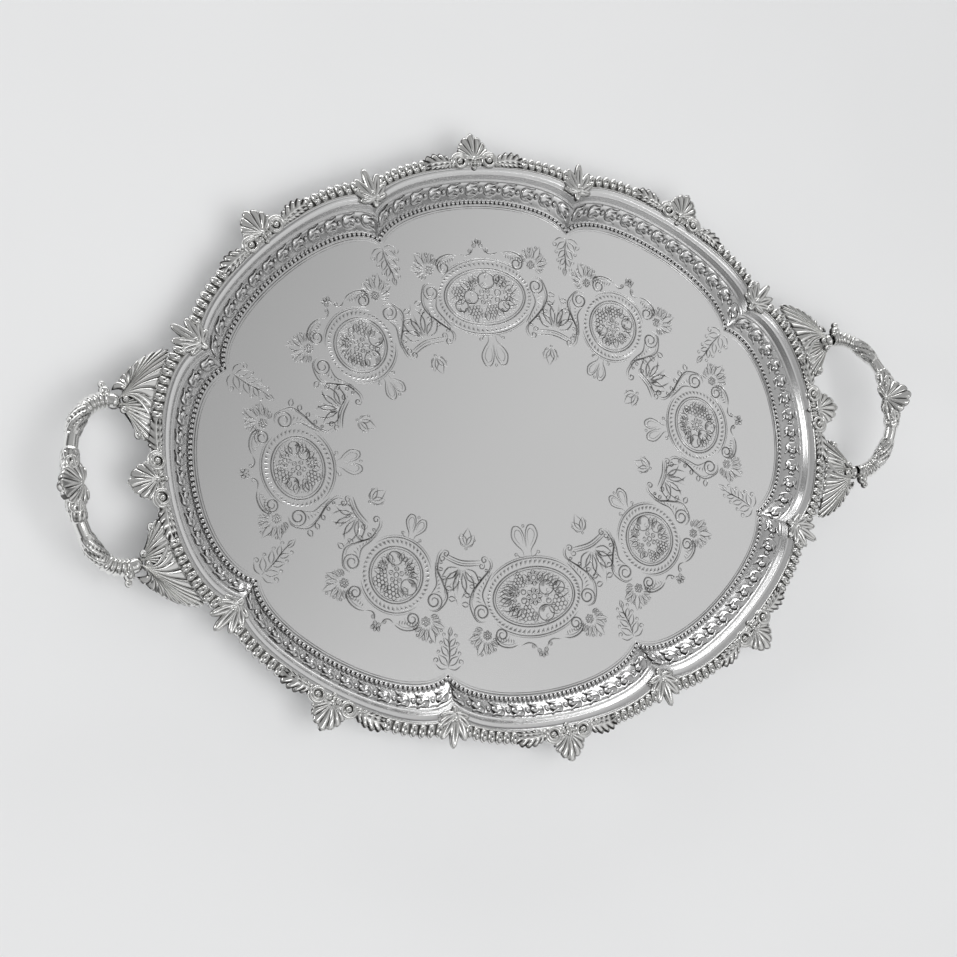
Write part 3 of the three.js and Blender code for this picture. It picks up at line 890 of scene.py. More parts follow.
def flank_leaf(bench, lobe, side):
    """The leaf beside a scroll; its long lobes hang over the outer edge, short ones lie inside."""
    outer = [(19.5, 28.4, 1.4), (27, 29.6, 1.8), (36, 30.2, 1.4), (LEAF_END + 2, 30.0, 0.8)]
    lay(bench, lobe, leaf(outer, (3.6, 10.5), 3.2, lobes=5, notch=0.5, sweep=0.5), side, bottom=-0.2)
    inner = [(20.0, 27.4, 1.2), (30, 27.4, 1.8), (LEAF_END + 1, 27.6, 1.2)]
    lay(bench, lobe, leaf(inner, (3.2, 3.6), 2.4, lobes=6, notch=0.3, rows=32), side, bottom=-0.2)
    lay_knobs(bench, lobe, [((place, 26.4, 0.9), (1.7, 1.5, 2.6), 1.1) for place in (23.0, 27.5)], side)


SHELL_KNOBS = [((0, 31.0, 1.4), (2.6, 3.2, 3.6), 1.1), ((0, 27.2, 1.0), (1.5, 2.3, 3.4), 1.1)]
SHELL_KNOBS += [((0, 24.0, 0.0), (2.2, 2.2, 2.6), 1.1)]
SIDE_KNOBS = [((3.2, 28.0, 0.6), (1.9, 3.2, 2.9), 0.7), ((5.2, 32.4, 0.8), (1.7, 2.8, 2.6), 0.7)]
SIDE_KNOBS += [((5.6, 28.4, 0.2), (2.2, 3.2, 2.6), 0.5)]


def middle_shell(bench, lobe):
    """The shell, with a tongue of three knobs at its root and three more on either side."""
    reach = SHELL_TIP - SHELL_ROOT
    reaches = [(0, reach), (14, 0.9 * reach), (35, 0.78 * reach), (62, 0.66 * reach), (88, 0.5 * reach)]
    form = fan(reaches, 9, 3.2, base=1.0)
    lay(bench, lobe, form, across=SHELL_ROOT, bottom=-0.1)
    lay_knobs(bench, lobe, SHELL_KNOBS)
    for sign in (-1, 1):
        lay_knobs(bench, lobe, [((sign * x, y, z), size, dark) for (x, y, z), size, dark in SIDE_KNOBS])


for lobe, name in zip(lobes, LOBE_NAMES):
    bench = Bench()
    casting_ground(bench, lobe)
    middle_shell(bench, lobe)
    for side in (-1, 1):
        scroll(bench, lobe, side)
        flank_leaf(bench, lobe, side)
        heavy_beads(bench, lobe, side)
    piece = bench.make("casting_" + name, CAST)
    stand_for(piece, "cast_silver", "border_casting_" + name)


# %% [markdown]
# ## The cusp shells
# A small palmette covers each joint between two castings. It is a fan of narrow leaves, the longest
# in the middle, that spread from a knot at the edge of the flange.


# %% Cusp shells
CUSP_NAMES = ["right_front", "right_back", "back_right", "back_left"]
CUSP_NAMES += ["left_back", "left_front", "front_left", "front_right"]
# each leaf's angle from the middle, its length and its half width
PALMETTE = [(0, 27.0, 5.2), (27, 23.0, 4.8), (52, 17.5, 4.6), (80, 12.5, 3.8)]


def blade(length, half_width, height):
    """One narrow leaf with a sunk midline, pointing along y."""
    u = np.linspace(0, 1, 16)[:, None]
    v = np.linspace(-1, 1, 11)[None, :]
    body = (u + 0.08) ** 0.45 * (1.001 - u) ** 0.42 * 1.35
    crown = np.sqrt(np.clip(1 - v**2, 0, 1))
    sunk = np.exp(-((v / 0.22) ** 2)) * np.sin(math.pi * u)
    z = 0.8 + height * (1 - 0.4 * u) * (0.95 * crown * np.clip(body * 1.2, 0, 1) - 0.35 * sunk)
    x = half_width * body * v
    y = length * u + 0 * v
    # painted shade along the sunk midline and at the edges
    shade_and_tarnish = np.clip(0.85 - 1.1 * crown + 1.1 * sunk, 0, 1)
    return np.stack([x, y, z], axis=-1), shade_and_tarnish


def turned(form, degrees, at=(0.0, 0.0)):
    """The same flat form turned, and moved to a place."""
    grid, shade_and_tarnish = form
    c, s = math.cos(math.radians(degrees)), math.sin(math.radians(degrees))
    x = c * grid[..., 0] - s * grid[..., 1] + at[0]
    y = s * grid[..., 0] + c * grid[..., 1] + at[1]
    return np.stack([x, y, grid[..., 2]], axis=-1), shade_and_tarnish


def lay_cusp(bench, cusp, form, closed=False, bottom=None):
    """Lays a flat form with y pointing out from the cusp."""
    grid, shade_and_tarnish = form
    aside = np.array([-cusp.outward[1], cusp.outward[0]])
    plan = cusp.place + grid[..., :1] * aside + (cusp.reach + grid[..., 1:2]) * cusp.outward
    laid = np.concatenate([plan, CASTING_BASE + grid[..., 2:]], axis=-1)
    bench.add(laid, shade_and_tarnish, closed, None if bottom is None else CASTING_BASE + bottom)


def palmette(bench, cusp):
    """A low ground, a fan of leaves, three leaves that point back to the field, and a knot on top."""
    lay_cusp(bench, cusp, dome((0, 7.0, -0.1), 8.5, 8.5, 1.8), closed=True)
    for angle, length, half_width in PALMETTE:
        for sign in (-1, 1) if angle else (1,):
            form = turned(blade(length, half_width, 4.0 if angle else 4.6), angle * sign)
            lay_cusp(bench, cusp, form, bottom=-0.1)
    lay_cusp(bench, cusp, turned(blade(15.0, 4.4, 3.4), 180, (0, 8.5)), bottom=-2.2)
    for sign in (-1, 1):
        form = turned(blade(12.0, 3.0, 3.0), 140 * sign, (1.5 * sign, 7.0))
        lay_cusp(bench, cusp, form, bottom=-0.6)
    lay_cusp(bench, cusp, dome((0, 5.0, 2.0), 2.2, 3.0, 3.4, dark=0.8), closed=True)


for cusp, name in zip(cusps, CUSP_NAMES):
    bench = Bench()
    palmette(bench, cusp)
    piece = bench.make("palmette_" + name, CAST)
    stand_for(piece, "cast_silver", "cusp_shell_" + name)


# %% [markdown]
# ## The handles
# Each handle is cast in two arms and a middle shell, and brazed to the border. An arm grows from a
# broad leaf on the border's edge, runs through a row of rings and a wrapped leaf, and ends under the
# shell. All four arms are the same, so one is made here, for the back right, and then mirrored.

# %% Line of the grip
GRIP = {"run": 48.5, "across": 62.7, "tip": 97.2, "half_span": 67.0}
GRIP_RISE = {"root": 25.0, "dip": 6.0, "tip": 41.0}
end_lobe = lobes[0]
grip_root = end_lobe.plan(GRIP["run"], GRIP["across"])
tip_x = end_lobe.plan(0.0, GRIP["tip"])[0]
root_z = FIELD_TOP + GRIP_RISE["root"]
tip_z = FIELD_TOP + GRIP_RISE["tip"]
grip_points = np.array(
    [
        (grip_root[0], grip_root[1], root_z),
        (0.4 * grip_root[0] + 0.6 * tip_x, GRIP["half_span"], root_z - GRIP_RISE["dip"]),
        (tip_x, 0.57 * GRIP["half_span"], tip_z),
        (tip_x, 0.0, tip_z),
    ]
)
grip_curve = bezier(grip_points, np.linspace(0, 1, 400))
grip_steps = np.linalg.norm(np.diff(grip_curve, axis=0), axis=1)
grip_travel = np.concatenate([[0], np.cumsum(grip_steps)])
ARM_LENGTH = grip_travel[-1]
print(f"arm {ARM_LENGTH:.1f} mm long, from x {grip_root[0]:.1f} to {tip_x:.1f}")

# %% Arm
BAR_RADIUS = 5.4
RINGS = {"from": 3.0, "pitch": 4.4, "count": 5}
WRAPS = [{"from": 24.0, "to": 50.0, "twist": 0.07}, {"from": 60.0, "to": 84.0, "twist": -0.06}]
WRAP_RIBS = 8


def arm_section(place, angle):
    """The bar's radius at a distance along it and an angle round it, and its painted shade between the
    rings and between the ribs of the wraps.
    """
    radius = np.full_like(place, BAR_RADIUS)
    shade_and_tarnish = np.zeros_like(place)
    ring_end = RINGS["from"] + RINGS["pitch"] * RINGS["count"]
    in_rings = (place > RINGS["from"]) & (place < ring_end)
    swell = np.abs(np.sin(math.pi * (place - RINGS["from"]) / RINGS["pitch"])) ** 0.6
    radius = np.where(in_rings, 4.7 + 2.3 * swell, radius)
    shade_and_tarnish = np.where(in_rings, 1.0 - 1.5 * swell, shade_and_tarnish)
    for wrap in WRAPS:
        share = (place - wrap["from"]) / (wrap["to"] - wrap["from"])
        inside = (share > 0) & (share < 1)
        bell = np.sin(math.pi * np.clip(share, 0, 1) ** 0.8) ** 0.55
        rib = np.abs(np.cos(0.5 * WRAP_RIBS * (angle + wrap["twist"] * place)))
        radius = np.where(inside, 5.2 + 2.2 * bell - 2.0 * bell * (1 - rib**0.5), radius)
        shade_and_tarnish = np.where(inside, np.clip(1.15 - 1.6 * rib, 0, 1) * bell, shade_and_tarnish)
    return radius, np.clip(shade_and_tarnish, 0, 1)


def at_arm(place):
    """The point, or the points, on the grip's line at a distance along it."""
    return np.stack([np.interp(place, grip_travel, grip_curve[:, k]) for k in range(3)], axis=-1)


def arm_bar():
    place = np.linspace(0, ARM_LENGTH, 220)
    angle = np.linspace(0, 2 * math.pi, 30, endpoint=False)
    radius, shade_and_tarnish = arm_section(*np.broadcast_arrays(place[:, None], angle[None, :]))
    return round_bar(at_arm(place), radius, angle), shade_and_tarnish


print("rings end at", RINGS["from"] + RINGS["pitch"] * RINGS["count"])

# %% Root leaf
WING_BOTTOM = root_z - 5.0 - CASTING_BASE  # underside of the root leaf, above the casting's base
# The leaf has three parts. Each has a neck, a heart that its strands bend towards, and an edge.
WING_EDGE = [(43, 36), (54, 34.5), (68, 34), (82, 34.5), (92, 35.5), (94, 40), (86, 47)]
WING_EDGE += [(77, 53), (67, 58.5), (56, 65)]
WING = {"neck": (47.0, 62.0), "heart": (70.0, 44.0), "edge": WING_EDGE}
INNER_EDGE = [(44, 35), (37, 34.5), (30, 35), (27, 38.5), (30.5, 44), (36, 45), (41, 48), (44, 54)]
INNER = {"neck": (46.5, 60.0), "heart": (41.0, 46.0), "edge": INNER_EDGE}
MIDDLE_EDGE = [(36, 37), (42, 34.6), (48, 34.4), (54, 34.4), (60, 34.6), (65, 38)]
MIDDLE = {"neck": (47.0, 62.0), "heart": (47.0, 49.0), "edge": MIDDLE_EDGE}


def spread_leaf(neck, heart, edge, strands, scallops_from, high, drop):
    """A leaf like a hand: raised strands bend out of its middle rib to every part of its edge."""
    u = np.linspace(0, 1, 24)[:, None, None]
    far = smooth_path(edge, strands * 8 + 1)[None]
    v = np.linspace(0, 1, far.shape[1])[None, :]
    wave = np.abs(np.sin(math.pi * strands * v)) ** 0.6
    notch = 1 - 0.14 * (1 - wave) * (v > scallops_from)
    neck, heart = np.array(neck), np.array(heart)
    far = neck + (far - neck) * notch[..., None]
    turn = neck + 0.62 * (heart - neck)
    plan = (1 - u) ** 2 * neck + 2 * u * (1 - u) * turn + u**2 * far
    share = u[..., 0]
    spread = np.clip(share * 2.4 - 0.25, 0, 1)
    belly = np.sin(math.pi * np.clip(0.25 + 0.75 * share, 0, 1))
    z = WING_BOTTOM + 1.4 + high * (1 - share) ** 0.8 + drop * belly + 1.7 * spread * (wave - 0.5)
    z = z + 1.2 * np.exp(-(((v - scallops_from) / 0.045) ** 2)) * spread
    # painted shade between the strands
    dark = np.clip((1.25 - 1.7 * wave) * spread, 0, 1)
    return np.concatenate([plan, z[..., None]], axis=-1), dark


def root_leaf(bench):
    """The leaf that an arm grows from, with knobs where it meets the bar."""
    wing = spread_leaf(**WING, strands=15, scallops_from=0.52, high=4.6, drop=1.6)
    inner = spread_leaf(**INNER, strands=8, scallops_from=0.45, high=4.0, drop=1.2)
    middle = spread_leaf(**MIDDLE, strands=6, scallops_from=2.0, high=3.4, drop=0.4)
    for form in (wing, inner, middle):
        lay(bench, end_lobe, form, bottom=WING_BOTTOM)
    knobs = [((48.5, 62.5, WING_BOTTOM + 1.6), (4.8, 5.4, 6.2), 1.1)]
    for x, y, half in ((44.4, 55.0, 2.6), (51.0, 54.5, 2.4), (52.0, 70.0, 3.8), (55.6, 72.5, 2.4)):
        knobs.append(((x, y, WING_BOTTOM + 4.6), (half, 1.1 * half, 1.2 * half + 1.4), 1.1))
    knobs.append(((30.6, 43.2, WING_BOTTOM + 1.0), (3.2, 3.0, 4.2), 1.1))
    lay_knobs(bench, end_lobe, knobs)


# %% Scroll by the shell
def shell_scroll(bench):
    """A volute on top of the bar, beside the middle shell."""
    x, y, z = at_arm(ARM_LENGTH - 15.5)
    t = np.linspace(0, 1, 40)
    angle = np.radians(200 - 460 * t)
    reach = 5.0 * (1 - 0.5 * t**2)
    around = np.stack([reach * np.sin(angle), reach * np.cos(angle), 1.6 * t], axis=1)
    # the ground under the volute is painted black: painted shade
    ground, _ = dome((x - 0.5, y, z + 0.5), 6.2, 6.4, 4.4)
    bench.grid(ground, 1.0, closed=True)
    strand = tube((x - 0.5, y, z + 4.2) + around, (1.7 - 0.6 * t) * rounded(40), flatten=1.2)
    bench.grid(*strand, closed=True)
    bench.grid(*dome((x - 0.5, y, z + 4.0), 2.1, 2.1, 3.4, dark=0.8), closed=True)


quarter = Bench()
quarter.grid(*arm_bar(), closed=True)
root_leaf(quarter)
shell_scroll(quarter)
for end, x_side in (("right", 1), ("left", -1)):
    for where, y_side in (("back", 1), ("front", -1)):
        bench = Bench()
        bench.copy_of(quarter, np.array([x_side, y_side, 1.0]))
        piece = bench.make(f"handle_arm_{end}_{where}", HANDLE)
        stand_for(piece, "handle_silver", f"handle_{end}_arm_{where}")

# %% [markdown]
# The shell at the middle of a handle starts on the inner side of the bar, passes over it and curls up
# and out, where it stops the fingers from slipping.

# %% Handle shell
GRIP_SHELL_LEAN = math.radians(34)
GRIP_SHELL_REACHES = [(0, 23.0), (22, 21.5), (48, 19.5), (75, 17.5), (100, 13.0), (120, 8.0)]


def handle_shell():
    """The shell of a right handle, with a knob under it and one on either side."""
    bench = Bench()
    grid, shade_and_tarnish = fan(GRIP_SHELL_REACHES, 11, 3.0, rows=16, base=0.0, lift=1.5)
    aside, out, over = (grid[..., k] for k in range(3))
    c, s = math.cos(GRIP_SHELL_LEAN), math.sin(GRIP_SHELL_LEAN)
    wrap = 0.018 * aside**2
    x = tip_x - 7.0 + c * out - s * over
    z = tip_z + 1.5 + s * out + c * over - wrap
    shell = np.stack([x, aside, z], axis=-1)
    bench.slab(shell, shade_and_tarnish, tip_z - 1.0)
    bench.grid(*dome((tip_x - 6.0, 0.0, tip_z + 1.0), 2.6, 3.0, 4.4), closed=True)
    for sign in (-1, 1):
        bench.grid(*dome((tip_x - 5.0, 6.0 * sign, tip_z + 0.5), 2.0, 3.0, 3.4), closed=True)
    return bench


shell = handle_shell()
for end, x_side in (("right", 1), ("left", -1)):
    bench = Bench()
    bench.copy_of(shell, np.array([x_side, 1.0, 1.0]))
    piece = bench.make("handle_shell_" + end, HANDLE)
    stand_for(piece, "handle_silver", f"handle_{end}_shell")


# %% [markdown]
# ## The feet
# Four small cast feet carry the tray. Each is a bracket with a fluted front, a waist and a rounded
# pad, and it is placed under the middle of a corner lobe, facing out.


# %% Feet
# how far up the foot, and its half sizes there, out from the tray and across
FOOT_PAD = [(0.00, 3.6, 9.4), (0.03, 4.6, 10.4), (0.12, 5.0, 10.9), (0.24, 4.6, 10.4)]
FOOT_WAIST = [(0.36, 3.6, 8.6), (0.50, 3.0, 7.2), (0.64, 3.3, 7.6), (0.78, 4.6, 9.0)]
FOOT_TOP = [(0.90, 6.4, 10.4), (0.97, 7.2, 11.0), (1.00, 7.2, 11.0)]


def foot(bench, low, high, outward):
    """A bracket foot between the table and the sheet: rings of a rounded oblong, one above another."""
    centre = (low + high) / 2
    rise = high[2] - low[2]
    share, deep, wide = np.array(FOOT_PAD + FOOT_WAIST + FOOT_TOP).T
    fine = np.linspace(0, 1, 41)
    deep = np.interp(fine, share, deep)
    wide = np.interp(fine, share, wide)
    angle = np.linspace(0, 2 * math.pi, 72, endpoint=False)
    c = np.sign(np.cos(angle)) * np.abs(np.cos(angle)) ** 0.6
    s = np.sign(np.sin(angle)) * np.abs(np.sin(angle)) ** 0.6
    flute = 1 - 0.06 * np.abs(np.sin(9 * angle)) * np.sin(math.pi * fine)[:, None] ** 2
    x = deep[:, None] * c * flute
    y = wide[:, None] * s * flute
    aside = np.array([-outward[1], outward[0]])
    plan = centre[:2] + x[..., None] * outward + y[..., None] * aside
    z = np.broadcast_to((low[2] + rise * fine)[:, None, None], (*x.shape, 1))
    # painted shade in the flutes
    shade_and_tarnish = np.clip((1 - flute) * 12, 0, 1)
    bench.grid(np.concatenate([plan, z], axis=-1), shade_and_tarnish, closed=True)
    for k, level in ((0, low[2]), (-1, high[2])):
        edge = plan[k]
        cap = np.stack([edge, centre[:2] + 0.02 * (edge - centre[:2])])
        cap = np.concatenate([cap, np.full((2, len(edge), 1), level)], axis=-1)
        bench.grid(cap, 0.0, closed=True, facing_up=k == -1)


for name in ("back_right", "back_left", "front_left", "front_right"):
    low, high = solid_box("foot_" + name)
    lobe = lobes[LOBE_NAMES.index(name)]
    place = lobe.plan(0.0, 0.0)
    bench = Bench()
    foot(bench, low, high, place / np.linalg.norm(place))
    piece = bench.make("bracket_foot_" + name, CAST)
    stand_for(piece, "cast_silver", "foot_" + name)


# %% [markdown]
# ## The engraving
# The field is engraved by hand with a V-shaped graver, which cuts a groove that is widest and deepest
# in the middle of a stroke and runs out to nothing at its ends. A ring of eight framed panels of
# fruit and flowers, four round and four oval, is joined by straps, and a leaf grows in from each
# cusp. Every stroke here is a real groove in the sheet: a list of points, a width and a depth.

# %% Strokes
GROOVE_STEEPNESS = 0.5  # depth over half width
STROKE_STEP = 1.3  # between the points of a round stroke
LINE_WEIGHT = 1.3  # every stroke's width is multiplied by this


def stroke(points, width=0.9, taper=True, smooth=0):
    """One cut of the graver; smooth is the number of points of a curve through the given ones."""
    points = smooth_path(points, smooth) if smooth else np.array(points, float)
    return {"points": points, "width": width, "taper": taper}


def oval_points(centre, half_x, half_y, angle):
    """Points of an oval at the given angles."""
    return np.stack([half_x * np.cos(angle), half_y * np.sin(angle)], axis=1) + centre


def arc(centre, radius, start, end, width=0.9):
    """A part of a circle that tapers at both ends, with its angles in degrees."""
    length = abs(math.radians(end - start)) * radius
    angle = np.radians(np.linspace(start, end, max(int(length / STROKE_STEP), 6) + 1))
    return stroke(oval_points(centre, radius, radius, angle), width)


def oval(centre, half_x, half_y, width=0.9, start=0, end=360, taper=False):
    """An oval, or a part of one."""
    count = max(int(math.radians(end - start) * max(half_x, half_y) / STROKE_STEP), 8)
    angle = np.radians(np.linspace(start, end, count + 1))
    return stroke(oval_points(centre, half_x, half_y, angle), width, taper)


def curl(centre, radius, start, turns, width=1.0):
    """A spiral that winds in from its start angle; turns below 0 wind clockwise."""
    t = np.linspace(0, 1, max(int(abs(turns) * radius * 4.2), 10))
    angle = math.radians(start) + 2 * math.pi * turns * t
    reach = radius * (1 - 0.78 * t)
    return stroke(oval_points(centre, reach, reach, angle), width)


def leaflet(base, tip, bulge, width=0.7, vein=True):
    """A pointed leaf: two curved edges, and a vein if asked."""
    base, tip = np.array(base, float), np.array(tip, float)
    along = tip - base
    aside = np.array([-along[1], along[0]]) * bulge
    cuts = []
    for sign in (-1, 1):
        middle = base + 0.45 * along + sign * aside
        cuts.append(stroke([base, middle, tip], width, smooth=7))
    if vein:
        cuts.append(stroke([base, base + 0.4 * along, base + 0.8 * along], width * 0.8))
    return cuts


def at_angle(degrees, length):
    """The point at an angle and a distance from the origin."""
    return np.array([math.cos(math.radians(degrees)), math.sin(math.radians(degrees))]) * length


def placed(cuts, origin=(0, 0), degrees=0.0, mirror=False):
    """The same strokes turned, mirrored across y first if asked, and moved."""
    c, s = math.cos(math.radians(degrees)), math.sin(math.radians(degrees))
    spin = np.array([[c, s], [-s, c]])
    flip = np.array([-1.0 if mirror else 1.0, 1.0])
    return [{**cut, "points": (cut["points"] * flip) @ spin + np.array(origin, float)} for cut in cuts]


def both_sides(cuts):
    """The strokes and their mirror image across y."""
    return cuts + placed(cuts, mirror=True)


print("a leaflet has", len(leaflet((0, 0), (5, 0), 0.2)), "strokes")


# %% Fruit and flowers
def rosette(centre, radius, petals):
    """A flower: a round eye and a ring of petals."""
    cuts = [oval(centre, 0.28 * radius, 0.28 * radius, 0.9)]
    for k in range(petals):
        way = 360 * k / petals
        base = centre + at_angle(way, 0.34 * radius)
        cuts += leaflet(base, centre + at_angle(way, radius), 0.36, 1.0)
    return cuts


def round_fruit(centre, radius):
    """An apple or peach: an outline, a shaded side and a small eye."""
    cuts = [oval(centre, radius, 0.94 * radius, 1.0)]
    for share in (0.84, 0.7, 0.56, 0.42):
        cuts.append(arc(centre, share * radius, 190, 190 + 165 * share, 0.9))
    cuts.append(arc(centre + np.array([0.15, 0.42]) * radius, 0.24 * radius, 0, 320, 0.7))
    stalk_leaf = leaflet((0, 0), (0.0, 0.7 * radius), 0.3, 0.8)
    cuts += placed(stalk_leaf, centre + np.array([0.1, 0.7]) * radius, 30)
    return cuts


def grapes(centre, radius):
    """A bunch of grapes, in rows that narrow to one grape."""
    cuts = []
    size = 0.27 * radius
    for row, count in enumerate((3, 4, 3, 2, 1)):
        for k in range(count):
            x = (k - (count - 1) / 2) * 1.95 * size
            y = (1.6 - row) * 1.7 * size
            cuts.append(oval(centre + np.array([x, y]), size, size, 0.8))
    return cuts


def toothed_leaf(base, tip, bulge):
    """A vine leaf: outline, midrib and side veins."""
    cuts = leaflet(base, tip, bulge, 1.1)
    base, tip = np.array(base, float), np.array(tip, float)
    along = tip - base
    aside = np.array([-along[1], along[0]])
    for share in (0.25, 0.45, 0.65):
        for sign in (-1, 1):
            start = base + share * along
            cuts.append(stroke([start, start + 0.16 * along + sign * bulge * 0.75 * aside], 0.8))
    return cuts


def heap(half_x, half_y, size, pick):
    """Places and sizes for fruit that touch each other: a flower in the middle, then large, then small."""
    filled = [(np.zeros(2), 1.15 * size)]
    for trial in range(900):
        reach = 0.72 * math.sqrt(pick.random())
        way = pick.uniform(0, 360)
        place = at_angle(way, reach) * (half_x, half_y)
        radius = size * pick.uniform(0.75, 1.1) * (1.0 if trial < 300 else 0.52)
        if all(np.linalg.norm(place - other) > 0.88 * (radius + r) for other, r in filled):
            filled.append((place, radius))
    return filled


def shading(half_x, half_y, filled):
    """Rows of short cuts over an oval, wherever no fruit lies."""
    cuts = []
    for y in np.arange(-half_y + 1.3, half_y, 1.7):
        half = half_x * math.sqrt(max(1 - (y / half_y) ** 2, 0)) - 0.8
        for x in np.arange(-half, half - 2, 3.1):
            middle = np.array([x + 1.2, y])
            if all(np.linalg.norm(middle - place) > r + 0.8 for place, r in filled):
                cuts.append(stroke([(x, y), (x + 1.2, y + 0.25), (x + 2.4, y + 0.5)], 0.7))
    return cuts


def bunch(half_x, half_y, pick):
    """Fruit and flowers heaped in an oval, leaves round them, and fine shading behind."""
    size = 0.31 * half_y
    filled = heap(half_x, half_y, size, pick)
    cuts = []
    for k, (place, radius) in enumerate(filled):
        if radius < 0.7 * size:
            cuts.append(oval(place, 0.75 * radius, 0.75 * radius, 0.9))
            cuts.append(arc(place, 0.4 * radius, 190, 350, 0.8))
        elif k % 3 == 0:
            cuts += rosette(place, radius, pick.choice((5, 6, 8)))
        elif k % 3 == 1:
            cuts += round_fruit(place, radius)
        else:
            cuts += grapes(place, radius)
    count = round(0.6 * (half_x + half_y))
    for k in range(count):
        way = 360 * (k + pick.uniform(-0.2, 0.2)) / count
        tip = at_angle(way, pick.uniform(0.92, 0.98)) * (half_x, half_y)
        base = tip * pick.uniform(0.45, 0.58)
        if all(np.linalg.norm(0.5 * (base + tip) - place) > 0.7 * r for place, r in filled):
            cuts += toothed_leaf(base, tip, 0.26)
    return cuts + shading(half_x, half_y, filled)


print("a test bunch has", len(bunch(20, 20, random.Random(1))), "strokes")


# %% Frame of a panel
RING_WIDTH = 7.4  # from the fruit's oval to the outside of the ring round it
ROPE_PITCH = 3.5
ROPE_SLANT = 0.8  # how far each tick leans, in steps of the rope


def rope_ring(half_x, half_y, gap):
    """Slanting ticks between two ovals."""
    count = round(2 * math.pi * math.sqrt((half_x**2 + half_y**2) / 2) / ROPE_PITCH)
    cuts = []
    for k in range(count):
        inside = at_angle(360 * k / count, 1.0) * (half_x, half_y)
        outside = at_angle(360 * (k + ROPE_SLANT) / count, 1.0) * (half_x + gap, half_y + gap)
        bend = 0.5 * (inside + outside) + 0.16 * np.array([outside[1] - inside[1], inside[0] - outside[0]])
        cuts.append(stroke([inside, bend, outside], 2.0))
    return cuts


# the angle and the relative length of each leaf
SPRAY_LEAVES = [(92, 1.9), (68, 1.55), (116, 1.6), (44, 1.7), (140, 1.5)]
SPRAY_LEAVES += [(20, 1.3), (164, 1.25), (-4, 1.15), (188, 1.0)]


def spray(size):
    """A flower in a burst of long leaves and buds, growing along y."""
    cuts = rosette(np.array([0.0, 0.0]), 0.42 * size, 6)
    bud = leaflet((0, 0), (0, 0.3 * size), 0.3, 0.85, vein=False)
    for way, length in SPRAY_LEAVES:
        tip = at_angle(way + 5, length * size)
        cuts += leaflet(at_angle(way - 5, 0.5 * size), tip, 0.17, 0.9)
        top = at_angle(way + 15, 0.76 * length * size)
        cuts.append(stroke([at_angle(way + 12, 0.55 * size), top], 0.8))
        cuts += placed(bud, top, way - 75)
    return cuts


# half of a pendant: across, in 28ths of its drop, and down, as a share of its drop
LOOP = [(3.4, 0), (4.2, -0.2), (9.2, -0.42), (12.2, -0.66), (9.6, -0.93)]
LOOP += [(4.2, -0.92), (0.8, -0.66), (0.4, -0.25)]
INNER_LOOP = [(3.4, -0.3), (7.2, -0.48), (9.4, -0.67), (7.4, -0.83)]
INNER_LOOP += [(4.2, -0.8), (2.4, -0.62), (2.6, -0.38)]


def pendant(top, bottom):
    """Two loops side by side that hang inward from a frame, with petals in each."""
    drop = top - bottom
    half = []
    for loop, width, count in ((LOOP, 1.1, 34), (INNER_LOOP, 0.7, 24)):
        half.append(stroke([(x * drop / 28, top + y * drop) for x, y in loop], width, smooth=count))
    for x in (4.4, 6.2):
        line = [(x * drop / 28, top - 0.45 * drop), (x * drop / 28 + 0.3, top - 0.7 * drop)]
        half.append(stroke(line, 0.6))
    hook_end = (10.4 * drop / 28, top - 0.16 * drop)
    half.append(curl((10.5 * drop / 28, top - 0.1 * drop), 1.9, 180, 1.1, 0.8))
    half.append(stroke([(2.4, top), (7, top - 0.5), hook_end], 0.8, smooth=8))
    cuts = both_sides(half)
    cuts.append(oval((0, bottom + 0.06 * drop), 1.0, 1.2, 0.7))
    cuts.append(stroke([(0, top), (0, top - 0.55 * drop)], 0.8))
    return cuts


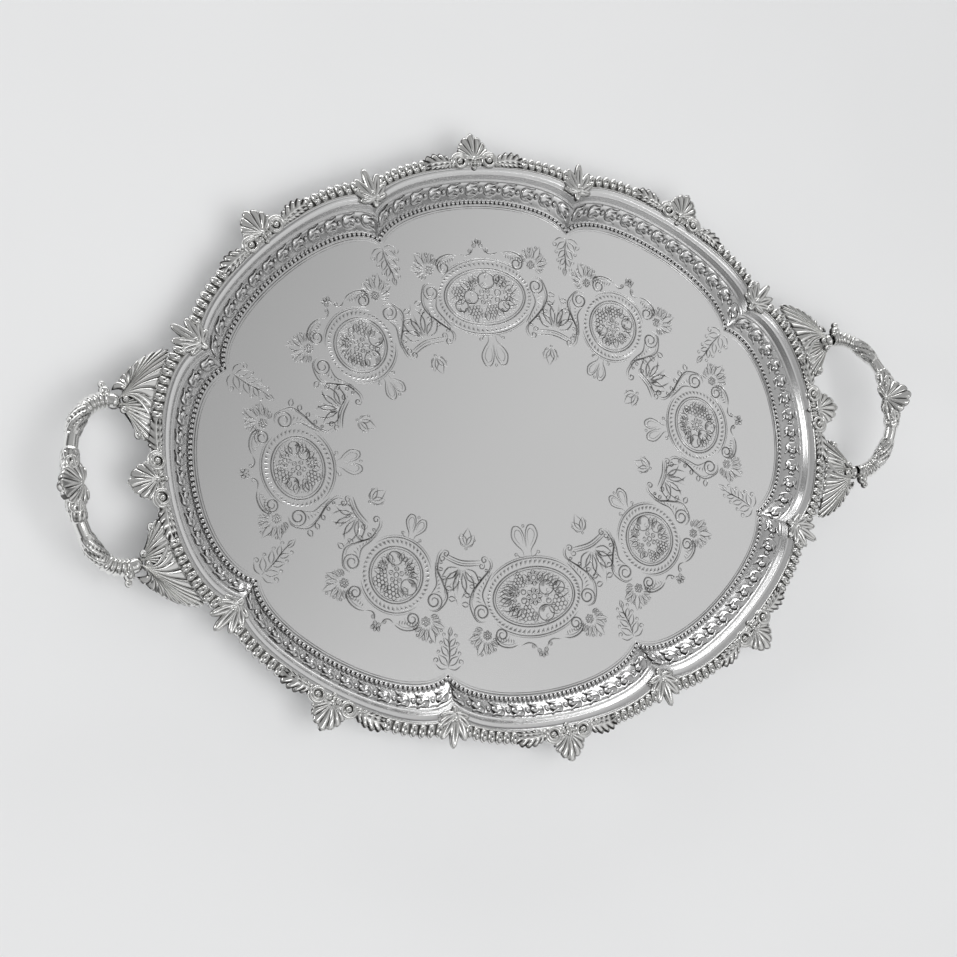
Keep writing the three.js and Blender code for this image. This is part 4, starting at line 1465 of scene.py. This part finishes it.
def side_scrolls(wide, tall, spread):
    """The right half of the frame round a ring of the given half sizes: a volute at the shoulder with
    a crest over it, and a large volute at the side that runs down in a long S to the strap."""
    shoulder = np.array([(0.76 + 0.1 * spread) * wide, (0.84 + 0.05 * spread) * tall])
    side = np.array([wide + 3.6 + 3.4 * spread, 0.2 * tall])
    cuts = [curl(shoulder, 6.6, 170, -1.9, 1.4)]
    cuts.append(curl(side + (0.4, 0), 7.8, 110, -1.9, 1.45))
    brow = [(6.6, -1.5), (5.6, 5.5), (0.5, 9.6), (-6.5, 11.2), (-13.0, 10.0)]
    cuts.append(stroke([shoulder + p for p in brow], 1.4, smooth=26))
    cuts.append(stroke([shoulder + 0.86 * np.array(p) + (-0.6, -0.6) for p in brow], 0.7, smooth=24))
    for share in np.linspace(0.2, 0.85, 6):
        start = shoulder + np.array([6.0 - 17.0 * share, 4.6 + 4.6 * share])
        cuts.append(stroke([start, start + (-0.8, -1.8), start + (-0.5, -3.6)], 0.8, smooth=6))
    outer = [side + (-1.0, 8.6), side + (6.6, 5.6), (wide + 13.6 + 3.4 * spread, -1.0)]
    outer += [(wide + 9.6, -0.34 * tall), (wide + 1.0, -0.6 * tall)]
    outer += [(wide - 8.4 + 7 * spread, -0.84 * tall), (wide - 10.0 + 8 * spread, -tall)]
    outer += [(wide - 8.0 + 7.5 * spread, -tall - 4.6)]
    cuts.append(stroke(outer, 1.35, smooth=52))
    middle = [p + np.array([-1.9, -0.6]) for p in map(np.array, outer)]
    cuts.append(stroke(middle[1:], 0.8, smooth=44))
    inner = [side + (-4.5, -3.0), (wide + 1.2 + 3 * spread, -0.22 * tall)]
    inner += [(wide - 4.0 + 4 * spread, -0.5 * tall), (wide - 11.0 + 7 * spread, -0.78 * tall)]
    cuts.append(stroke(inner, 1.2, smooth=26))
    edge = smooth_path(outer[2:7], 12)
    core = smooth_path(inner, 12)
    for k in range(1, 10):
        start, gap = edge[k], core[k] - edge[k]
        cuts.append(stroke([start + 0.3 * gap, start + 0.55 * gap + (0, -0.8), start + 0.8 * gap], 1.0))
    for k in range(0, 9, 2):
        out = np.array([7.5, -2.0])
        cuts += leaflet(edge[k] + (0.6, 0), edge[k] + out * (1 - 0.06 * k), 0.28, 1.1, vein=False)
    end = np.array([wide - 6.4 + 7.5 * spread, -tall - 5.0])
    cuts.append(curl(end + (1.0, 1.6), 3.2, 190, 1.3, 1.2))
    return cuts


def crest(wide, tall):
    """The right half of the crest over a panel: a low hook with two leaflets on it."""
    hook = [(0.42 * wide, tall + 6.0), (0.26 * wide, tall + 4.6)]
    hook += [(0.15 * wide, tall + 6.6), (0.1 * wide, tall + 10.4)]
    cuts = [stroke(hook, 1.2, smooth=18)]
    cuts += placed(leaflet((0, 0), (0, 6.0), 0.26, 0.9), (0.1 * wide, tall + 10.0), 30)
    cuts += placed(leaflet((0, 0), (0, 4.6), 0.26, 0.8), (0.19 * wide, tall + 6.0), 14)
    return cuts


def panel(half_x, half_y, spread, pick):
    """One framed panel, with y pointing to the edge of the tray."""
    cuts = bunch(half_x - 2.0, half_y - 2.0, pick)
    cuts.append(oval((0, 0), half_x, half_y, 1.3))
    cuts.append(oval((0, 0), half_x - 1.9, half_y - 1.9, 0.8))
    cuts += rope_ring(half_x + 2.0, half_y + 2.0, 4.0)
    wide = half_x + RING_WIDTH
    tall = half_y + RING_WIDTH
    for way in (90, 270):
        cuts.append(oval((0, 0), wide, tall, 1.2, way - 58, way + 58, taper=True))
        cuts.append(oval((0, 0), wide + 1.6, tall + 1.6, 0.7, way - 50, way + 50, taper=True))
    right = side_scrolls(wide, tall, spread) + crest(wide, tall)
    corner = (wide + 2.5 + 4.5 * spread, 0.76 * tall + 1.0)
    right += placed(spray(10.4), corner, -44 - 10 * spread)
    cuts += both_sides(right)
    for way in (90, 50, 130):
        cuts += placed(leaflet((0, 0.8), (0, 6.4), 0.26, 1.0), (0, tall + 12.5), way - 90)
    cuts.append(stroke([(0, tall + 5.5), (0, tall + 12.0)], 1.0))
    cuts += pendant(-half_y - 8.5, -half_y - 36 + 7 * spread)
    return cuts


print("a panel has", len(panel(37.5, 24.5, 0, random.Random(2))), "strokes")


# %% Straps between the panels
def strap(start, bend, end):
    """A band of three lines with a curl at each end."""
    start, bend, end = (np.array(p, float) for p in (start, bend, end))
    along = (end - start) / np.linalg.norm(end - start)
    aside = np.array([-along[1], along[0]])
    cuts = []
    for shift, width in ((-2.2, 1.2), (0.0, 0.8), (1.8, 1.2)):
        cuts.append(stroke([p + shift * aside for p in (start, bend, end)], width, smooth=24))
    facing = math.degrees(math.atan2(-aside[1], -aside[0]))
    for place, turns in ((start, -1.3), (end, 1.3)):
        cuts.append(curl(place + 2.4 * aside, 3.0, facing, turns))
    return cuts


FAN_LEAVES = [(90, 1.0, 0.2), (64, 0.9, 0.2), (116, 0.9, 0.2), (38, 0.66, 0.24), (142, 0.66, 0.24)]


def fan_of_leaves(length):
    """Five leaves that open upward from one point, above a strap; the middle one is shaded dark."""
    cuts = []
    for way, share, bulge in FAN_LEAVES:
        base = at_angle(way, 0.1 * length)
        cuts += leaflet(base, at_angle(way, share * length), bulge, 1.3)
    for k in range(9):
        side = 0.8 + 0.75 * k
        rise = (0.82 - 0.055 * k) * length
        cuts.append(stroke([(0.25 * side, 0.1 * length), (0.8 * side, 0.5 * rise), (side, rise)], 1.1))
    for k in range(5):
        side = -2.0 - 1.1 * k
        cuts.append(stroke([(0.3 * side, 0.14 * length), (side, (0.6 - 0.07 * k) * length)], 0.8))
    return cuts


def bellflower(length):
    """A drooping flower of three long petals under a strap, growing along y."""
    cuts = [oval((0, -0.5), 1.0, 0.9, 0.7)]
    for way, share in ((90, 1.0), (62, 0.8), (118, 0.8)):
        cuts += leaflet(at_angle(way, 1.2), at_angle(way, share * length), 0.24, 0.9)
    for sign in (-1, 1):
        tail = [(0, 0.8), (sign * 4.4, 2.0), (sign * 6.4, 6.0)]
        cuts.append(stroke(tail, 0.8, smooth=9))
        cuts.append(oval((sign * 6.8, 7.4), 0.8, 1.0, 0.6))
    return cuts


def cusp_leaf(length):
    """The leaf that grows in from a cusp, along y."""
    cuts = [stroke([(0, 1.5), (0.8, 0.4 * length), (-0.6, 0.75 * length), (0.5, length)], 1.3, smooth=26)]
    for share, reach, rise in ((0.12, 9, 9), (0.34, 7, 9), (0.56, 5, 8)):
        for sign in (-1, 1):
            base = np.array([0.3 * sign, share * length])
            tip = base + (sign * reach, rise)
            cuts += leaflet(base, tip, 0.2 * -sign, 1.0, vein=False)
            cuts.append(curl(tip + (-sign * 0.4, 1.8), 1.9, -90, 1.1 * sign, 0.8))
    cuts += placed(leaflet((0, 0), (0, 0.26 * length), 0.2, 0.9), (0.2, 0.8 * length))
    for sign in (-1, 1):
        tendril = [(sign * 0.8, 2.0), (sign * 6.5, 1.6), (sign * 11.5, 5.5)]
        cuts.append(stroke(tendril, 1.0, smooth=12))
        cuts.append(curl((sign * 10.6, 8.0), 2.6, -60 if sign > 0 else 240, 1.1 * sign, 0.9))
    return cuts


print("a cusp leaf has", len(cusp_leaf(32)), "strokes")

# %% The whole pattern
PANELS = [
    # centre, half sizes along and across, spread of the frame, direction of the edge in degrees
    ((0, 127.0), (37.5, 24.5), 0.0, 90.0),
    ((117.5, 93.5), (22.8, 22.8), 1.0, 58.0),
    ((185.0, 0), (25.0, 22.0), 0.6, 0.0),
]
STRAPS = [
    # start, bend and end of the strap, its fan's place, its flower's place, direction of the edge
    ((42, 94), (60, 91.5), (75, 83), (60, 93.5), (54, 80), 74.0),
    ((136, 51), (143, 40), (146, 28), (140, 42), (130, 33), 27.0),
]


def mirrored(cuts, x_side, y_side):
    """The strokes, mirrored across y or x where a side is -1."""
    return [{**cut, "points": cut["points"] * (x_side, y_side)} for cut in cuts]


def whole_pattern():
    """The strokes of the whole field; each panel's fruit is its own."""
    cuts = []
    seed = 0
    for centre, (half_x, half_y), spread, way in PANELS:
        x_sides = (1, -1) if centre[0] else (1,)
        y_sides = (1, -1) if centre[1] else (1,)
        for x_side in x_sides:
            for y_side in y_sides:
                seed += 1
                form = panel(half_x, half_y, spread, random.Random(seed))
                cuts += mirrored(placed(form, centre, way - 90), x_side, y_side)
    for start, bend, end, fan_place, flower_place, way in STRAPS:
        form = strap(start, bend, end)
        form += placed(fan_of_leaves(33), fan_place, way - 90)
        form += placed(bellflower(17), flower_place, way + 90)
        for x_side in (1, -1):
            for y_side in (1, -1):
                cuts += mirrored(form, x_side, y_side)
    for cusp in cusps:
        inward = math.degrees(math.atan2(-cusp.outward[1], -cusp.outward[0]))
        length = 34 if cusp.kind == "side" else 40
        cuts += placed(cusp_leaf(length), cusp.place - 4.5 * cusp.outward, inward - 90)
    return cuts


def inset(lobe, across):
    """A line of 61 points along a lobe, at a distance from the beads."""
    runs = np.interp(np.linspace(0, 1, 61), lobe.shares, lobe.runs)
    return lobe.plan(runs, np.full(61, across))


def border_lines():
    """Two lines and a row of fine ticks just inside the beads."""
    cuts = []
    for lobe in lobes:
        for across, width in ((-3.2, 1.2), (-4.9, 0.8)):
            cuts.append(stroke(inset(lobe, across)[1:-1], width))
        outer = inset(lobe, -5.6)
        inner = inset(lobe, -6.8)
        for k in range(2, 59):
            cuts.append(stroke([outer[k], inner[k]], 0.5))
    return cuts


pattern = whole_pattern() + border_lines()
print("strokes:", len(pattern))

# %% [markdown]
# The grooves are cut by dividing the flat field along both edges and the middle of every stroke. Then
# each new corner is lowered by how near it lies to the middle of a stroke, so that grooves that cross
# run into each other as cuts do.


# %% Cutting the field
# the grooves of the field are darkened by their depth: painted shade, with tarnish
DARKEST_CUT = 0.28  # a cut this deep gets the darkest painted shade and tarnish
CUT_RECESS = 0.8


def divide(points, edges, outline):
    """Divides the inside of an outline into triangles that keep the given edges."""
    return delaunay_2d_cdt([Vector(p) for p in points], edges, [outline], 1, 1e-5)


def field_outline():
    return [place for lobe in lobes for place in bezier(lobe.inner, np.arange(48) / 48)]


def groove_lines(cut, points, edges):
    """Adds the middle and the two edges of one stroke to the division of the field."""
    line = cut["points"]
    ahead = tangents(line)
    aside = np.stack([-ahead[:, 1], ahead[:, 0]], axis=1)
    t = np.linspace(0, 1, len(line))
    half = 0.5 * LINE_WEIGHT * cut["width"] * np.ones(len(line))
    if cut["taper"]:
        half *= np.clip(np.sin(math.pi * t), 0, 1) ** 0.5
    rows = []
    closed = np.linalg.norm(line[0] - line[-1]) < 1e-6
    for k, place in enumerate(line):
        if closed and k == len(line) - 1:
            rows.append(rows[0])
        elif half[k] < 0.02:
            points.append(place)
            rows.append((len(points) - 1,) * 3)
        else:
            points += [place + half[k] * aside[k], place, place - half[k] * aside[k]]
            rows.append((len(points) - 3, len(points) - 2, len(points) - 1))
    for before, after in zip(rows, rows[1:]):
        edges += [(a, b) for a, b in zip(before, after) if a != b]
    return half


def groove_samples(cuts):
    """Points along the middle of every stroke, with the direction and half width there."""
    samples = []
    for cut, half in cuts:
        line = cut["points"]
        for a, b, wide_a, wide_b in zip(line, line[1:], half, half[1:]):
            samples.append((*(0.5 * (a + b)), *(0.5 * (b - a)), wide_a, wide_b))
    return np.array(samples)


def groove_depth(place, samples, tree):
    """How deep the strokes near a point cut it."""
    deepest = 0.0
    for found in tree.find_range((place[0], place[1], 0.0), 2.6):
        mx, my, hx, hy, wide_a, wide_b = samples[found[1]]
        dx, dy = place[0] - mx, place[1] - my
        length = hx * hx + hy * hy
        along = max(-1.0, min(1.0, (dx * hx + dy * hy) / length)) if length else 0.0
        far = math.hypot(dx - along * hx, dy - along * hy)
        wide = 0.5 * (wide_a + wide_b) + 0.5 * along * (wide_b - wide_a)
        deepest = max(deepest, wide - far)
    return deepest * GROOVE_STEEPNESS


def engraved_field():
    """The points of the cut field, its triangles, and how black each point is with painted shade and
    tarnish in the grooves.
    """
    points = field_outline()
    outline = list(range(len(points)))
    edges = []
    cuts = [(cut, groove_lines(cut, points, edges)) for cut in pattern]
    made = divide(points, edges, outline)
    samples = groove_samples(cuts)
    tree = kdtree.KDTree(len(samples))
    for k, row in enumerate(samples):
        tree.insert((row[0], row[1], 0.0), k)
    tree.balance()
    depth = np.array([groove_depth(place, samples, tree) for place in made[0]])
    plan = np.array([(p.x, p.y) for p in made[0]])
    corners = np.concatenate([plan, (FIELD_TOP - depth)[:, None]], axis=1)
    faces = np.array([list(face) for face in made[2]])
    return corners, faces, CUT_RECESS * np.clip(depth / DARKEST_CUT, 0, 1)


field_points, field_faces, field_recess = engraved_field()
print("field triangles:", len(field_faces), "deepest cut:", round(float(field_points[:, 2].min()), 2))

# %% The finished sheet
sheet.triangles(field_points, field_faces, field_recess)
outline = field_outline()
under_points = np.array([(x, y, FIELD_TOP - SHEET) for x, y in outline])
made = divide(outline, [], list(range(len(outline))))
under_faces = np.array([list(face) for face in made[2]])[:, ::-1]
sheet.triangles(under_points, under_faces, np.zeros(len(outline)))
body = sheet.make("body_sheet", POLISHED, weld=False)
stand_for(body, "polished_silver", "tray_body")


# %% [markdown]
# ## Light
# Polished silver has no colour of its own: it shows the room. So the room is built like a studio for
# silver. Pale walls give the field one soft grey that changes slowly, a large white screen stands
# behind the tray, and the castings catch it on every round edge. One more light lifts the table.


# %% Room
# how bright the room is at each height, and from its left to its right
ELEVATION = [(0.0, 0.8), (0.12, 0.75), (0.24, 0.22), (0.40, 0.2)]
ELEVATION += [(0.50, 0.7), (0.62, 1.0), (0.8, 1.0), (1.0, 0.8)]
WALLS = [(0.0, 0.36), (0.59, 0.39), (0.62, 0.50), (0.66, 0.65), (0.69, 0.71), (0.73, 0.62), (1.0, 0.63)]


def grey_ramp(tree, value, stops):
    """A grey that follows the value through the stops."""
    node = tree.nodes.new("ShaderNodeValToRGB")
    ramp = node.color_ramp
    while len(ramp.elements) < len(stops):
        ramp.elements.new(0.5)
    for element, (place, grey) in zip(ramp.elements, stops):
        element.position = place
        element.color = (grey, grey, grey, 1)
    tree.links.new(value, node.inputs["Fac"])
    return node.outputs["Color"]


def room_light():
    """Grey walls that change with height, and are lighter on the right than on the left."""
    world = bpy.data.worlds.new("room")
    bpy.context.scene.world = world
    world.use_nodes = True
    tree = world.node_tree
    way = tree.nodes.new("ShaderNodeTexCoord").outputs["Generated"]
    parts = tree.nodes.new("ShaderNodeSeparateXYZ")
    tree.links.new(way, parts.inputs["Vector"])
    height = grey_ramp(tree, parts.outputs["Z"], ELEVATION)
    slide = math_node(tree, "MULTIPLY_ADD", parts.outputs["X"], 0.5, 0.5)
    deep = math_node(tree, "MULTIPLY", parts.outputs["Y"], -0.3)
    side = grey_ramp(tree, math_node(tree, "ADD", slide, deep), WALLS)
    light = math_node(tree, "MULTIPLY", height, side)
    background = tree.nodes["Background"]
    tree.links.new(light, background.inputs["Color"])
    background.inputs["Strength"].default_value = 1.0
    return world


room_light()


def soft_box(name, place, size, power, aim=(0, 0, 0.02)):
    """A glowing rectangle that faces the tray; its sizes are in metres and its power in watts."""
    data = bpy.data.lights.new(name, "AREA")
    data.shape = "RECTANGLE"
    data.size, data.size_y = size
    data.energy = power
    box = bpy.data.objects.new(name, data)
    box.location = place
    way = Vector(aim) - Vector(place)
    box.rotation_euler = way.to_track_quat("-Z", "Y").to_euler()
    bpy.context.scene.collection.objects.link(box)
    return box


soft_box("back_screen", (0.1, 2.2, 0.55), (3.0, 0.5), 15)
soft_box("left_screen", (-2.4, 0.6, 0.9), (1.0, 0.6), 8)
soft_box("top_strip", (0.2, -0.9, 2.4), (1.4, 0.25), 3)
fill = soft_box("table_fill", (0.0, -1.0, 3.2), (3.0, 3.0), 62)
fill.visible_glossy = False  # it lifts the pale table, and the silver doesn't show it
bpy.context.scene.view_settings.view_transform = "Standard"

# %% [markdown]
# ## Table
# The tray lies on a plain pale table, far larger than the tray.


# %% Table
TABLE_HALF = 12.0  # metres


def table():
    """One square of a pale, faintly mottled stuff, with its top at the height of the feet."""
    half = TABLE_HALF
    mesh = bpy.data.meshes.new("table")
    corners = [(-half, -half, 0), (half, -half, 0), (half, half, 0), (-half, half, 0)]
    mesh.from_pydata(corners, [], [(0, 1, 2, 3)])
    material = bpy.data.materials.new("pale_table")
    material.use_nodes = True
    shader = material.node_tree.nodes["Principled BSDF"]
    tree = material.node_tree
    place = tree.nodes.new("ShaderNodeTexCoord").outputs["Object"]
    mottle = noise(tree, place, 3.0, 4.0)
    colour = mix_colours(tree, mottle, (0.82, 0.825, 0.83, 1), (0.87, 0.875, 0.88, 1))
    tree.links.new(colour, shader.inputs["Base Color"])
    shader.inputs["Roughness"].default_value = 0.8
    mesh.materials.append(material)
    slab = bpy.data.objects.new("table", mesh)
    bpy.context.scene.collection.objects.link(slab)
    return slab


table()


# %% [markdown]
# ## The end
# The dressed tray has to be the size of its solids.


print("the tray is dressed")
